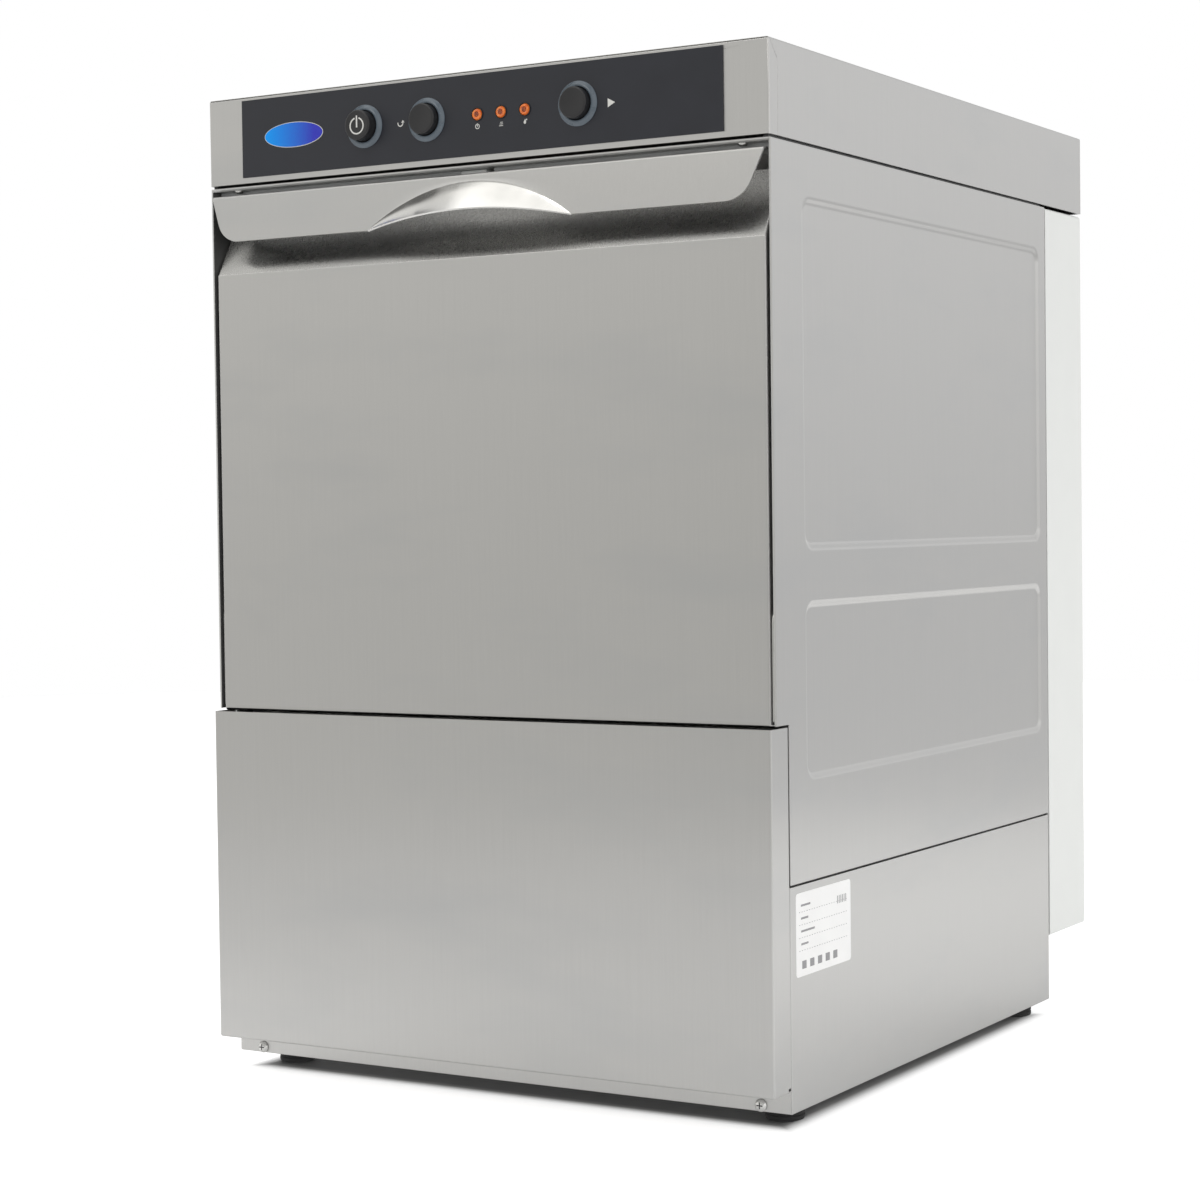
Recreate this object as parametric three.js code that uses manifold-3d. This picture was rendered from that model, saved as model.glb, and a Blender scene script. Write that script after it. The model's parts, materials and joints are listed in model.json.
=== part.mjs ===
// An under-counter glass washer: control head, wash tank with a drop-down door, base tray, kick panel
// and a service cover at the back. Millimetres, +Z up, front towards -Y, origin at the bottom centre.
// Inside the machine group, depth is counted from the front plane of the control head.

import * as THREE from 'three';
import { mergeVertices } from 'three/addons/utils/BufferGeometryUtils.js';
import Module from 'manifold-3d';

const wasm = await Module();
wasm.setup();

// ---- Driving dimensions -------------------------------------------------------------------------

const bodyHalfWidth = 215;
const baseHalfWidth = 214.6;
const headHalfWidth = 214.8;
const doorHalfWidth = 211;
const machineTop = 667.5;
const rearCoverBack = 528.5;
const gap = 0.3;                   // between pieces that touch
const sheet = 1.5;                 // panel thickness
const thinSheet = 1.2;             // door and kick panel thickness

const footHeight = 11;
const baseTop = 151;
const bodyBottom = 152.6;
const bodyTop = 607.4;
const bodyFront = 1;
const bodyBack = 450.5;
const baseFront = 17.5;

const headBottom = 609.2;
const headBack = 527.4;
const fasciaReturn = 11;           // depth of the fascia's side returns
const mitreBottom = 655.5;         // where the mitred seam turns vertical

const kickFront = -5.9;
const kickBottom = 24.8;
const kickTop = 249.8;

const tankFloor = 167.5;
const flangeFront = 35;            // front frame that the gasket sits on
const mouthHalfWidth = 188;
const mouthBottom = 288;
const mouthTop = 590;
const mouthCornerRadius = 14;
const roofThickness = 2;           // its front edge is the rail above the door
const armCentreDepth = 242.5;
const pressingDepth = 1.8;         // pressed rectangles in the side walls

const doorFace = 1;
const doorBottom = 252;
const doorTop = 600.2;
const doorInside = 31;
const recessBend = 548.3;          // where the finger recess starts to slope back
const recessDepth = 26;
const recessTop = 591.6;
const hingeDepth = 9;
const hingeHeight = 262;

const handleTop = 601.8;
const handleBottom = 569.8;
const handleHalfWidth = 211.3;
const handleTopDepth = -1.7;
const handleBottomDepth = -6.6;
const gripHalfWidth = 78.6;
const gripPeak = 596.6;            // top of the arc where the grip flares out of the handle
const gripEdge = 578.4;            // height of the grip's lip at the middle
const gripFront = -13.4;           // how far forward the lip stands there

const buttonHeight = 639;
const powerButtonX = -83.6;
const cycleButtonX = -34;
const startButtonX = 80.8;
const lampX = [5.3, 23.4, 41.4];
const powerCapFront = -10;
const otherCapFront = -8;

const rackHalf = 175;
const rackBottom = 291;
const rackHeight = 110;
const railTop = 290.4;

const machine = new THREE.Group();
machine.name = 'machine';
machine.position.y = -(rearCoverBack + gripFront) / 2;

// ---- Materials ----------------------------------------------------------------------------------

function finish(color, roughness, metalness) {
  return () => new THREE.MeshStandardMaterial({ color, roughness, metalness });
}

const brushedSteel = finish(0xb9b7b2, 0.38, 1);
const polishedSteel = finish(0xd6d6d4, 0.16, 1);
const whitePaint = finish(0xe9ebe8, 0.55, 0);
const darkFilm = finish(0x3c3d44, 0.5, 0);
const greyBlue = finish(0x66717c, 0.5, 0);
const blackPlastic = finish(0x2b2b2e, 0.55, 0);
const orangeLens = finish(0xf26a1b, 0.25, 0);
const blackRubber = finish(0x1d1d1f, 0.8, 0);
const bluePlastic = finish(0x2f6fb2, 0.45, 0);
const greyPlastic = finish(0x7d8286, 0.5, 0);
const castMetal = finish(0x8d9094, 0.55, 0.8);
const greenBoard = finish(0x2d6a3f, 0.6, 0);

// ---- Solid helpers ------------------------------------------------------------------------------

// Turns a closed three.js geometry into a solid: shared corners merged, flat slivers dropped, and the
// faces turned outwards.
function solidOf(geometry) {
  const bare = geometry.clone();
  for (const name of Object.keys(bare.attributes)) {
    if (name !== 'position') bare.deleteAttribute(name);
  }
  const merged = mergeVertices(bare, 1e-4);
  const place = merged.attributes.position;
  const corner = (i) => new THREE.Vector3().fromBufferAttribute(place, i);
  const faces = [];
  let volume = 0;
  for (let i = 0; i < merged.index.count; i += 3) {
    const [a, b, c] = [0, 1, 2].map((k) => merged.index.getX(i + k));
    if (a === b || b === c || c === a) continue;
    faces.push([a, b, c]);
    volume += corner(a).dot(corner(b).cross(corner(c)));
  }
  const triVerts = new Uint32Array(faces.flatMap(([a, b, c]) => (volume < 0 ? [a, c, b] : [a, b, c])));
  const vertProperties = new Float32Array(place.array);
  return new wasm.Manifold(new wasm.Mesh({ numProp: 3, vertProperties, triVerts }));
}

function geometryOf(solid) {
  const mesh = solid.getMesh();
  const geometry = new THREE.BufferGeometry();
  geometry.setAttribute('position', new THREE.BufferAttribute(new Float32Array(mesh.vertProperties), 3));
  geometry.setIndex(new THREE.BufferAttribute(new Uint32Array(mesh.triVerts), 1));
  geometry.computeVertexNormals();
  return geometry;
}

function joined(first, ...others) {
  return others.reduce((sum, other) => sum.add(other), first);
}

function cut(first, ...tools) {
  return tools.reduce((left, tool) => left.subtract(tool), first);
}

function block([x0, x1], [y0, y1], [z0, z1]) {
  const geometry = new THREE.BoxGeometry(x1 - x0, y1 - y0, z1 - z0);
  geometry.translate((x0 + x1) / 2, (y0 + y1) / 2, (z0 + z1) / 2);
  return solidOf(geometry);
}

const bothSides = (halfWidth) => [-halfWidth, halfWidth];

// Turns a shape drawn in X and Y, and run along Z, so that it is drawn in Y and Z and runs along X.
const layAlongX = new THREE.Matrix4().makeBasis(
  new THREE.Vector3(0, 1, 0), new THREE.Vector3(0, 0, 1), new THREE.Vector3(1, 0, 0));

// An outline of [y, z] points, run along X.
function alongX(outline, [x0, x1]) {
  const shape = new THREE.Shape(outline.map(([y, z]) => new THREE.Vector2(y, z)));
  const geometry = new THREE.ExtrudeGeometry(shape, { depth: x1 - x0, bevelEnabled: false });
  geometry.applyMatrix4(layAlongX);
  geometry.translate(x0, 0, 0);
  return solidOf(geometry);
}

// A shape drawn in X and Z, run along Y.
function shapeAlongY(shape, [y0, y1], curveSegments = 6) {
  const geometry = new THREE.ExtrudeGeometry(shape, { depth: y1 - y0, bevelEnabled: false, curveSegments });
  geometry.rotateX(Math.PI / 2);
  geometry.translate(0, y1, 0);
  return solidOf(geometry);
}

function alongY(outline, depthRange) {
  return shapeAlongY(new THREE.Shape(outline.map(([x, z]) => new THREE.Vector2(x, z))), depthRange);
}

function roundedRectangle([x0, x1], [z0, z1], radius) {
  const shape = new THREE.Shape();
  const quarter = Math.PI / 2;
  shape.absarc(x1 - radius, z0 + radius, radius, -quarter, 0);
  shape.absarc(x1 - radius, z1 - radius, radius, 0, quarter);
  shape.absarc(x0 + radius, z1 - radius, radius, quarter, 2 * quarter);
  shape.absarc(x0 + radius, z0 + radius, radius, 2 * quarter, 3 * quarter);
  shape.closePath();
  return shape;
}

// A profile of [radius, height] points, from the axis back to the axis, turned about Z.
function turned(profile, sides = 20) {
  const points = profile.map(([radius, height]) => new THREE.Vector2(radius, height));
  const geometry = new THREE.LatheGeometry(points, sides);
  geometry.rotateX(Math.PI / 2);
  return solidOf(geometry);
}

function disc(radius, [from, to], sides = 20) {
  return turned([[0, from], [radius, from], [radius, to], [0, to]], sides);
}

function ring(outer, inner, [from, to], sides = 20) {
  return turned([[inner, from], [outer, from], [outer, to], [inner, to], [inner, from]], sides);
}

// Lays a solid that was turned about Z down, so that its axis points along +Y or +X.
function facingY(solid) {
  return solid.rotate([-90, 0, 0]);
}

function facingX(solid) {
  return solid.rotate([0, 90, 0]);
}

function at(solid, x, y, z) {
  return solid.translate([x, y, z]);
}

// A round tube that follows a list of points, with closed ends.
function tube(points, radius, steps, sides = 8) {
  const route = new THREE.CatmullRomCurve3(points.map(([x, y, z]) => new THREE.Vector3(x, y, z)));
  const section = new THREE.Shape();
  for (let i = 0; i < sides; i += 1) {
    const angle = (i / sides) * 2 * Math.PI;
    const [u, v] = [radius * Math.cos(angle), radius * Math.sin(angle)];
    if (i === 0) section.moveTo(u, v);
    else section.lineTo(u, v);
  }
  section.closePath();
  return solidOf(new THREE.ExtrudeGeometry(section, { steps, extrudePath: route, bevelEnabled: false }));
}

function place(name, solid, material, parent = machine) {
  const mesh = new THREE.Mesh(geometryOf(solid), material());
  mesh.name = name;
  parent.add(mesh);
}

const sides = [['left', -1], ['right', 1]];

// ---- Control head -------------------------------------------------------------------------------

function mitredProfile(clearance) {
  return [
    [-clearance, headBottom - clearance],
    [fasciaReturn + clearance, headBottom - clearance],
    [fasciaReturn + clearance, mitreBottom + clearance],
    [-clearance, machineTop + 2 * clearance],
  ];
}

function addTopCover() {
  const shell = cut(
    block(bothSides(headHalfWidth), [0, headBack], [headBottom, machineTop]),
    block(bothSides(headHalfWidth - sheet), [-1, headBack - sheet], [headBottom - 1, machineTop - sheet]));
  place('top_cover', cut(shell, alongX(mitredProfile(gap), bothSides(headHalfWidth + 1))), brushedSteel);
}

const buttons = [
  ['power', powerButtonX, powerCapFront],
  ['cycle', cycleButtonX, otherCapFront],
  ['start', startButtonX, otherCapFront],
];
const buttonHole = 12;
const lampHole = 3.6;

function fasciaHoles(depthRange, spare) {
  const holes = [];
  for (const [, x] of buttons) {
    holes.push(at(facingY(disc(buttonHole + spare, depthRange)), x, 0, buttonHeight));
  }
  for (const x of lampX) {
    holes.push(at(facingY(disc(lampHole + spare, depthRange, 12)), x, 0, buttonHeight));
  }
  return holes;
}

function addFascia() {
  const outer = alongX(mitredProfile(0), bothSides(headHalfWidth));
  const inside = block(
    bothSides(headHalfWidth - sheet), [sheet, headBack], [headBottom + sheet, machineTop + 1]);
  place('control_fascia', cut(outer, inside, ...fasciaHoles([-2, 4], 0)), brushedSteel);

  const filmSpan = [-186, 184];
  const filmHeights = [613, 665];
  const film = block(filmSpan, [-0.75, -0.15], filmHeights);
  place('control_overlay', cut(film, ...fasciaHoles([-2, 4], 0.1)), darkFilm);
}

function addButton(name, x, capFront) {
  const bezelProfile = [
    [10.5, -2.2], [11.4, -3], [13, -2.7], [14.2, -1], [11.6, -1], [11.6, 5.5], [10.5, 5.5], [10.5, -2.2],
  ];
  place(`${name}_button_bezel`, at(facingY(turned(bezelProfile, 20)), x, 0, buttonHeight), greyBlue);

  const stemEnd = 14;
  const capRadius = 10;
  const capBack = 1;
  const capProfile = [
    [0, capFront], [capRadius - 1.2, capFront], [capRadius, capFront + 1.2],
    [capRadius, capBack], [4, capBack], [4, stemEnd], [0, stemEnd],
  ];
  place(`${name}_button_cap`, at(facingY(turned(capProfile, 18)), x, 0, buttonHeight), blackPlastic);

  const socket = facingY(disc(4.7, [0, 20], 10));
  const switchBody = block([-12, 12], [6.2, 34], [-12, 12]);
  place(`${name}_switch`, at(cut(switchBody, socket), x, 0, buttonHeight), greyPlastic);
}

function addLamp(name, x) {
  const lensProfile = [
    [0, -3], [1.6, -3], [2.2, -4.6], [3.4, -4.6], [4.3, -3.2], [4.3, -1], [3.2, -1], [3.2, 12], [0, 12],
  ];
  place(`${name}_lamp`, at(facingY(turned(lensProfile, 12)), x, 0, buttonHeight), orangeLens);
}

function addHeadContents() {
  const board = joined(
    block([-60, 90], [120, 215], [612, 613.6]),
    block([-48, -24], [132, 160], [613, 631]),
    block([-12, 12], [132, 160], [613, 631]),
    block([40, 78], [135, 175], [613, 640]),
    block([-50, 70], [196, 208], [613, 624]));
  place('control_board', board, greenBoard);

  const doser = joined(
    block([130, 180], [270, 330], [608, 640]),
    at(facingY(disc(20, [-30, 0], 20)), 155, 271, 628));
  place('dosing_pump', doser, bluePlastic);

  const pressureProfile = [[0, 608], [24, 608], [24, 618], [18, 624], [5, 624], [5, 636], [0, 636]];
  place('pressure_switch', at(turned(pressureProfile, 20), -150, 300, 0), greyPlastic);
}

// ---- Body and tank ------------------------------------------------------------------------------

const upperPressing = [358, 575.5];
const lowerPressing = [215, 326];
const pressingSpan = [42, 438];
const pressingSlope = 3.5;

// One pressed rectangle as a shallow pan with sloping sides: its wide mouth lies on the plane x = 0 and
// its narrow floor at x = -pressingDepth. grow widens it all round.
function pressedPan(heights, grow) {
  const [y0, y1] = pressingSpan;
  const inset = pressingSlope - grow;
  const cornerRadius = 7;
  const shape = roundedRectangle(
    [y0 + inset, y1 - inset], [heights[0] + inset, heights[1] - inset], cornerRadius);
  const geometry = new THREE.ExtrudeGeometry(shape, {
    depth: 0.5, bevelEnabled: true, bevelSegments: 1, curveSegments: 3,
    bevelSize: pressingSlope, bevelThickness: pressingDepth,
  });
  geometry.applyMatrix4(layAlongX);
  return solidOf(geometry);
}

// Adds the inner side of a pressing to the wall, then presses the outside in.
function pressSideWalls(tank) {
  const inner = bodyHalfWidth - sheet;
  let pressed = tank;
  for (const heights of [upperPressing, lowerPressing]) {
    const innerPan = at(pressedPan(heights, sheet / 2), inner, 0, 0);
    const padding = innerPan.intersect(
      block([inner - pressingDepth - 1, inner + sheet / 2], [0, bodyBack], [0, bodyTop]));
    const outerPan = at(pressedPan(heights, 0), bodyHalfWidth, 0, 0);
    pressed = cut(joined(pressed, padding, padding.mirror([1, 0, 0])), outerPan, outerPan.mirror([1, 0, 0]));
  }
  return pressed;
}

function addWashTank() {
  const inner = bodyHalfWidth - sheet;
  const roof = bodyTop - roofThickness;
  const innerWidth = bothSides(inner);
  const insideDepth = [flangeFront + sheet, bodyBack - sheet];
  const notchTop = kickTop + 1.7;
  const mouth = roundedRectangle(bothSides(mouthHalfWidth), [mouthBottom, mouthTop], mouthCornerRadius);
  const tank = cut(
    block(bothSides(bodyHalfWidth), [bodyFront, bodyBack], [bodyBottom, bodyTop]),
    block(innerWidth, insideDepth, [tankFloor, roof]),
    block(innerWidth, [0, flangeFront], [bodyBottom - 1, roof]),
    block(innerWidth, insideDepth, [bodyBottom - 1, tankFloor - sheet]),
    shapeAlongY(mouth, [flangeFront - 1, flangeFront + sheet + 1]),
    block(bothSides(bodyHalfWidth + 1), [0, baseFront + gap], [bodyBottom - 1, notchTop]));
  place('wash_tank', pressSideWalls(tank), brushedSteel);

  place('door_catch', block([-14, 6], [8, 30], [handleTop + 0.6, roof - gap]), greyPlastic);
}

function addGasket() {
  const width = 8;
  const margin = 2;
  const reach = margin + width;
  const outer = roundedRectangle(
    bothSides(mouthHalfWidth + reach), [mouthBottom - reach, mouthTop + reach], mouthCornerRadius + width);
  outer.holes.push(roundedRectangle(
    bothSides(mouthHalfWidth + margin), [mouthBottom - margin, mouthTop + margin], mouthCornerRadius));
  place('door_gasket', shapeAlongY(outer, [doorInside + gap, flangeFront - gap], 4), blackRubber);
}

// ---- Base ---------------------------------------------------------------------------------------

const footPlaces = [
  ['front_left', -192, 52], ['front_right', 192, 52], ['rear_left', -192, 436], ['rear_right', 192, 436],
];
const kickScrewHeight = 15.5;
const kickScrewX = 193.8;
const glandPlace = [190, 41];
const inletPlace = [70, 40];
const drainPlace = [-110, 34];

function addBase() {
  const inner = baseHalfWidth - sheet;
  const lipTop = 50;
  const cornerFlange = 198;
  const wallHole = (radius, [x, z]) => at(facingY(disc(radius, [445, 455], 20)), x, 0, z);
  const tools = [
    block(bothSides(inner), [baseFront + sheet, bodyBack - sheet], [footHeight + sheet, baseTop + 1]),
    block(bothSides(cornerFlange), [baseFront - 1, baseFront + sheet + 1], [lipTop, baseTop + 1]),
    wallHole(10.4, glandPlace),
    wallHole(13.4, inletPlace),
    wallHole(12.4, drainPlace),
  ];
  for (const [, x, y] of footPlaces) {
    tools.push(at(disc(4.4, [10, 14], 12), x, y, 0));
  }
  for (const [, side] of sides) {
    tools.push(at(facingY(disc(2.4, [16, 20], 12)), side * kickScrewX, 0, kickScrewHeight));
  }
  const tray = block(bothSides(baseHalfWidth), [baseFront, bodyBack], [footHeight, baseTop]);
  place('base_chassis', cut(tray, ...tools), brushedSteel);

  for (const [name, x, y] of footPlaces) {
    const profile = [[0, 0], [11.5, 0], [12.5, 1.5], [12.5, 7], [10, 10.6], [4, 10.6], [4, 22], [0, 22]];
    place(`foot_${name}`, at(turned(profile, 14), x, y, 0), blackRubber);
  }
}

function addKickPanel() {
  const half = baseHalfWidth;
  const returnBack = baseFront - gap;
  const flangeBottom = footHeight + 0.6;
  const inner = half - thinSheet;
  const panel = joined(
    block(bothSides(half), [kickFront, kickFront + thinSheet], [kickBottom, kickTop]),
    ...sides.map(([, side]) => block(
      side > 0 ? [inner, half] : [-half, -inner], [kickFront, returnBack], [kickBottom, kickTop])),
    block(bothSides(half), [kickFront, returnBack], [kickBottom, kickBottom + thinSheet]),
    block(bothSides(half), [returnBack - thinSheet, returnBack], [flangeBottom, kickBottom + thinSheet]));
  const holes = sides.map(([, side]) => at(
    facingY(disc(2.4, [14, 19], 12)), side * kickScrewX, 0, kickScrewHeight));
  place('kick_panel', cut(panel, ...holes), brushedSteel);

  for (const [name, side] of sides) {
    const headBackFace = returnBack - thinSheet - gap;
    const profile = [
      [0, headBackFace - 2.4], [2.4, headBackFace - 2.4], [4, headBackFace - 1.2],
      [4, headBackFace], [2, headBackFace], [2, 26], [0, 26],
    ];
    const cross = joined(
      block([-2.2, 2.2], [headBackFace - 3, headBackFace - 1.2], [-0.45, 0.45]),
      block([-0.45, 0.45], [headBackFace - 3, headBackFace - 1.2], [-2.2, 2.2]));
    const screw = cut(facingY(turned(profile, 16)), cross);
    place(`kick_screw_${name}`, at(screw, side * kickScrewX, 0, kickScrewHeight), polishedSteel);
  }
}

// ---- Service cover and rear fittings ------------------------------------------------------------

function addRearCover() {
  const half = 214.4;
  const front = bodyBack + 2.5;
  const bottom = 58.7;
  const cover = cut(
    block(bothSides(half), [front, rearCoverBack], [bottom, bodyTop - 0.2]),
    block(bothSides(half - sheet), [front - 1, rearCoverBack - sheet], [bottom + sheet, bodyTop - sheet]));
  place('rear_cover', cover, whitePaint);

  const valve = joined(
    block([-14, 14], [412, 440], [-14, 14]),
    at(disc(11, [14, 44], 16), 0, 426, 0),
    facingY(ring(13, 9, [438, 476], 20)));
  place('inlet_valve', at(valve, inletPlace[0], 0, inletPlace[1]), greyPlastic);

  const spigot = facingY(turned([
    [9, 430], [12, 430], [12, 455], [16, 455], [16, 459], [12, 459], [11, 488], [9, 488], [9, 430],
  ], 14));
  place('drain_spigot', at(spigot, drainPlace[0], 0, drainPlace[1]), greyPlastic);

  const gland = facingY(turned([
    [4.5, 440], [10, 440], [10, 451], [13, 451], [13, 458],
    [12, 458], [12, 476], [8, 490], [4.5, 490], [4.5, 440],
  ], 12));
  place('cable_gland', at(gland, glandPlace[0], 0, glandPlace[1]), blackPlastic);
}

// ---- Door ---------------------------------------------------------------------------------------

function addDoorSkins() {
  const face = doorFace;
  const t = thinSheet;
  const slope = (recessDepth - face) / (recessTop - recessBend);
  const back = doorInside - 6.5;
  const outer = [
    [face, doorBottom], [back, doorBottom], [back, recessBend + (back - t - face) / slope],
    [recessDepth + t, recessTop - t * 0.6], [recessDepth + t, doorTop], [recessDepth, doorTop],
    [recessDepth, recessTop], [face, recessBend],
  ];
  const cavity = [
    [face + t, doorBottom + t], [back + 1, doorBottom + t],
    [back + 1, recessBend + (back + 1 - t - face) / slope - t * 0.6], [face + t, recessBend - t * 0.4],
  ];
  const pinHole = at(facingX(disc(5, [-220, 220], 16)), 0, hingeDepth, hingeHeight);
  const skin = cut(
    alongX(outer, bothSides(doorHalfWidth)),
    alongX(cavity, bothSides(doorHalfWidth - t)),
    pinHole);
  place('door_outer_skin', skin, brushedSteel);

  const innerHalf = doorHalfWidth - t - 0.4;
  const innerBottom = doorBottom + 2.2;
  const trayFront = doorInside - 6.1;
  const tray = cut(
    block(bothSides(innerHalf), [trayFront, doorInside], [innerBottom, doorTop]),
    block(bothSides(innerHalf - t), [trayFront - 1, doorInside - t], [innerBottom + t, doorTop - t]),
    block(bothSides(innerHalf + 1), [trayFront - 1, recessDepth + t + gap], [recessTop - 9, doorTop + 1]));
  place('door_inner_skin', tray, brushedSteel);
}

function handleFrontDepth(height) {
  const share = (handleTop - height) / (handleTop - handleBottom);
  return handleTopDepth + share * (handleBottomDepth - handleTopDepth);
}

function gripArcHeight(x) {
  const rise = gripPeak - handleBottom;
  const radius = (gripHalfWidth ** 2 + rise ** 2) / (2 * rise);
  return gripPeak - radius + Math.sqrt(radius ** 2 - x ** 2);
}

// The finger grip: a curved strip that flares forwards, from the arc on the handle down to its lip.
function gripStrip() {
  const columns = 14;
  const rows = 3;
  const thickness = sheet - gap;
  const overlap = 1.2;             // how far the strip reaches into the plate above the arc
  const positions = [];
  const faces = [];
  const index = (side, i, j) => (side * (columns + 1) + i) * (rows + 1) + j;
  for (const side of [0, 1]) {
    for (let i = 0; i <= columns; i += 1) {
      const across = -1 + (2 * i) / columns;
      const x = across * gripHalfWidth;
      const bulge = 1 - across ** 2;
      const top = gripArcHeight(x) + overlap;
      const lip = handleBottom + (gripEdge - handleBottom) * bulge;
      const reach = (gripFront - handleFrontDepth(gripEdge)) * bulge;
      for (let j = 0; j <= rows; j += 1) {
        const down = j / rows;
        const z = top + (lip - top) * down;
        const front = handleFrontDepth(z) + reach * (1 - Math.cos(down * Math.PI / 2)) ** 0.7;
        positions.push(x, front + side * thickness, z);
      }
    }
  }
  const quad = (a, b, c, d) => faces.push(a, b, c, a, c, d);
  for (let i = 0; i < columns; i += 1) {
    for (let j = 0; j < rows; j += 1) {
      quad(index(0, i, j), index(0, i, j + 1), index(0, i + 1, j + 1), index(0, i + 1, j));
      quad(index(1, i, j), index(1, i + 1, j), index(1, i + 1, j + 1), index(1, i, j + 1));
    }
    quad(index(0, i, 0), index(0, i + 1, 0), index(1, i + 1, 0), index(1, i, 0));
    quad(index(0, i, rows), index(1, i, rows), index(1, i + 1, rows), index(0, i + 1, rows));
  }
  for (let j = 0; j < rows; j += 1) {
    quad(index(0, 0, j), index(1, 0, j), index(1, 0, j + 1), index(0, 0, j + 1));
    quad(index(0, columns, j), index(0, columns, j + 1), index(1, columns, j + 1), index(1, columns, j));
  }
  const geometry = new THREE.BufferGeometry();
  geometry.setAttribute('position', new THREE.Float32BufferAttribute(positions, 3));
  geometry.setIndex(faces);
  return solidOf(geometry);
}

function addDoorHandle() {
  const legBack = recessDepth - gap;
  const section = [
    [handleTopDepth, handleTop], [handleBottomDepth, handleBottom],
    [handleBottomDepth + sheet, handleBottom], [handleTopDepth + sheet, handleTop - sheet],
    [legBack - sheet, handleTop - sheet], [legBack - sheet, recessTop + 1], [legBack, recessTop + 1],
    [legBack, doorTop + gap], [doorInside - 1, doorTop + gap], [doorInside - 1, handleTop],
  ];
  const cornerRadius = 16;
  const shoulder = [206.4, 585.4];
  const toe = 190.5;
  const outline = new THREE.Shape();
  outline.moveTo(-handleHalfWidth, handleTop + 1);
  outline.lineTo(-handleHalfWidth, handleTop - 0.5);
  outline.lineTo(-shoulder[0], shoulder[1]);
  outline.quadraticCurveTo(-shoulder[0] + cornerRadius / 3, handleBottom, -toe, handleBottom);
  outline.lineTo(toe, handleBottom);
  outline.quadraticCurveTo(shoulder[0] - cornerRadius / 3, handleBottom, shoulder[0], shoulder[1]);
  outline.lineTo(handleHalfWidth, handleTop - 0.5);
  outline.lineTo(handleHalfWidth, handleTop + 1);
  outline.closePath();
  const blank = alongX(section, bothSides(handleHalfWidth)).intersect(shapeAlongY(outline, [-20, 40]));

  const below = handleBottom - 5;
  const arc = [[gripHalfWidth, below], [gripHalfWidth, handleBottom]];
  const arcSteps = 14;
  for (let i = 1; i < arcSteps; i += 1) {
    const x = gripHalfWidth * (1 - (2 * i) / arcSteps);
    arc.push([x, gripArcHeight(x)]);
  }
  arc.push([-gripHalfWidth, handleBottom], [-gripHalfWidth, below]);
  const notch = alongY(arc, [-20, 2]);
  place('door_handle', joined(cut(blank, notch), gripStrip()), brushedSteel);
}

const bracketFront = 3;
const bracketBottom = 254;
const bracketTop = 323.5;
const bracketRadius = 8;           // of the rounded top
const pinRadius = 4;
const pinInner = 182;

// A flat strip with a round top, seen in Y and Z.
function bracketOutline() {
  const bracketBack = bracketFront + 2 * bracketRadius;
  const outline = new THREE.Shape();
  outline.moveTo(bracketFront, bracketBottom);
  outline.lineTo(bracketBack, bracketBottom);
  outline.lineTo(bracketBack, bracketTop - bracketRadius);
  outline.absarc(bracketFront + bracketRadius, bracketTop - bracketRadius, bracketRadius, 0, Math.PI);
  outline.closePath();
  return outline;
}

// Four turns of wire round the hinge pin, and a leg that reaches up to the door.
function springSolid(side) {
  const turns = 4;
  const coilRadius = 5.5;
  const pitch = 4.4;
  const coilStart = 187;
  const stepsPerTurn = 8;
  const wire = 0.8;
  const points = [];
  for (let i = 0; i <= turns * stepsPerTurn; i += 1) {
    const turn = i / stepsPerTurn;
    const angle = turn * 2 * Math.PI;
    points.push([
      side * (coilStart + turn * pitch),
      hingeDepth + coilRadius * Math.sin(angle), hingeHeight + coilRadius * Math.cos(angle),
    ]);
  }
  const lastX = side * (coilStart + turns * pitch);
  points.push([lastX, hingeDepth + 4.2, hingeHeight + 8], [lastX, hingeDepth + 5, hingeHeight + 30]);
  return tube(points, wire, turns * stepsPerTurn + 4, 5);
}

function addHinges() {
  for (const [name, side] of sides) {
    const flat = new THREE.ExtrudeGeometry(
      bracketOutline(), { depth: thinSheet, bevelEnabled: false, curveSegments: 8 });
    flat.applyMatrix4(layAlongX);
    const inner = doorHalfWidth + gap;
    const plate = at(solidOf(flat), side > 0 ? inner : -inner - thinSheet, 0, 0);
    const bore = at(facingX(disc(pinRadius + 0.2, [-220, 220], 16)), 0, hingeDepth, hingeHeight);
    place(`hinge_bracket_${name}`, cut(plate, bore), polishedSteel);

    const pinOuter = bodyHalfWidth - sheet - gap;
    const span = side > 0 ? [pinInner, pinOuter] : [-pinOuter, -pinInner];
    const pin = facingX(disc(pinRadius, span, 16));
    place(`hinge_pin_${name}`, at(pin, 0, hingeDepth, hingeHeight), polishedSteel);
    place(`door_spring_${name}`, springSolid(side), castMetal);
  }
}

// ---- Wash system --------------------------------------------------------------------------------

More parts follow.
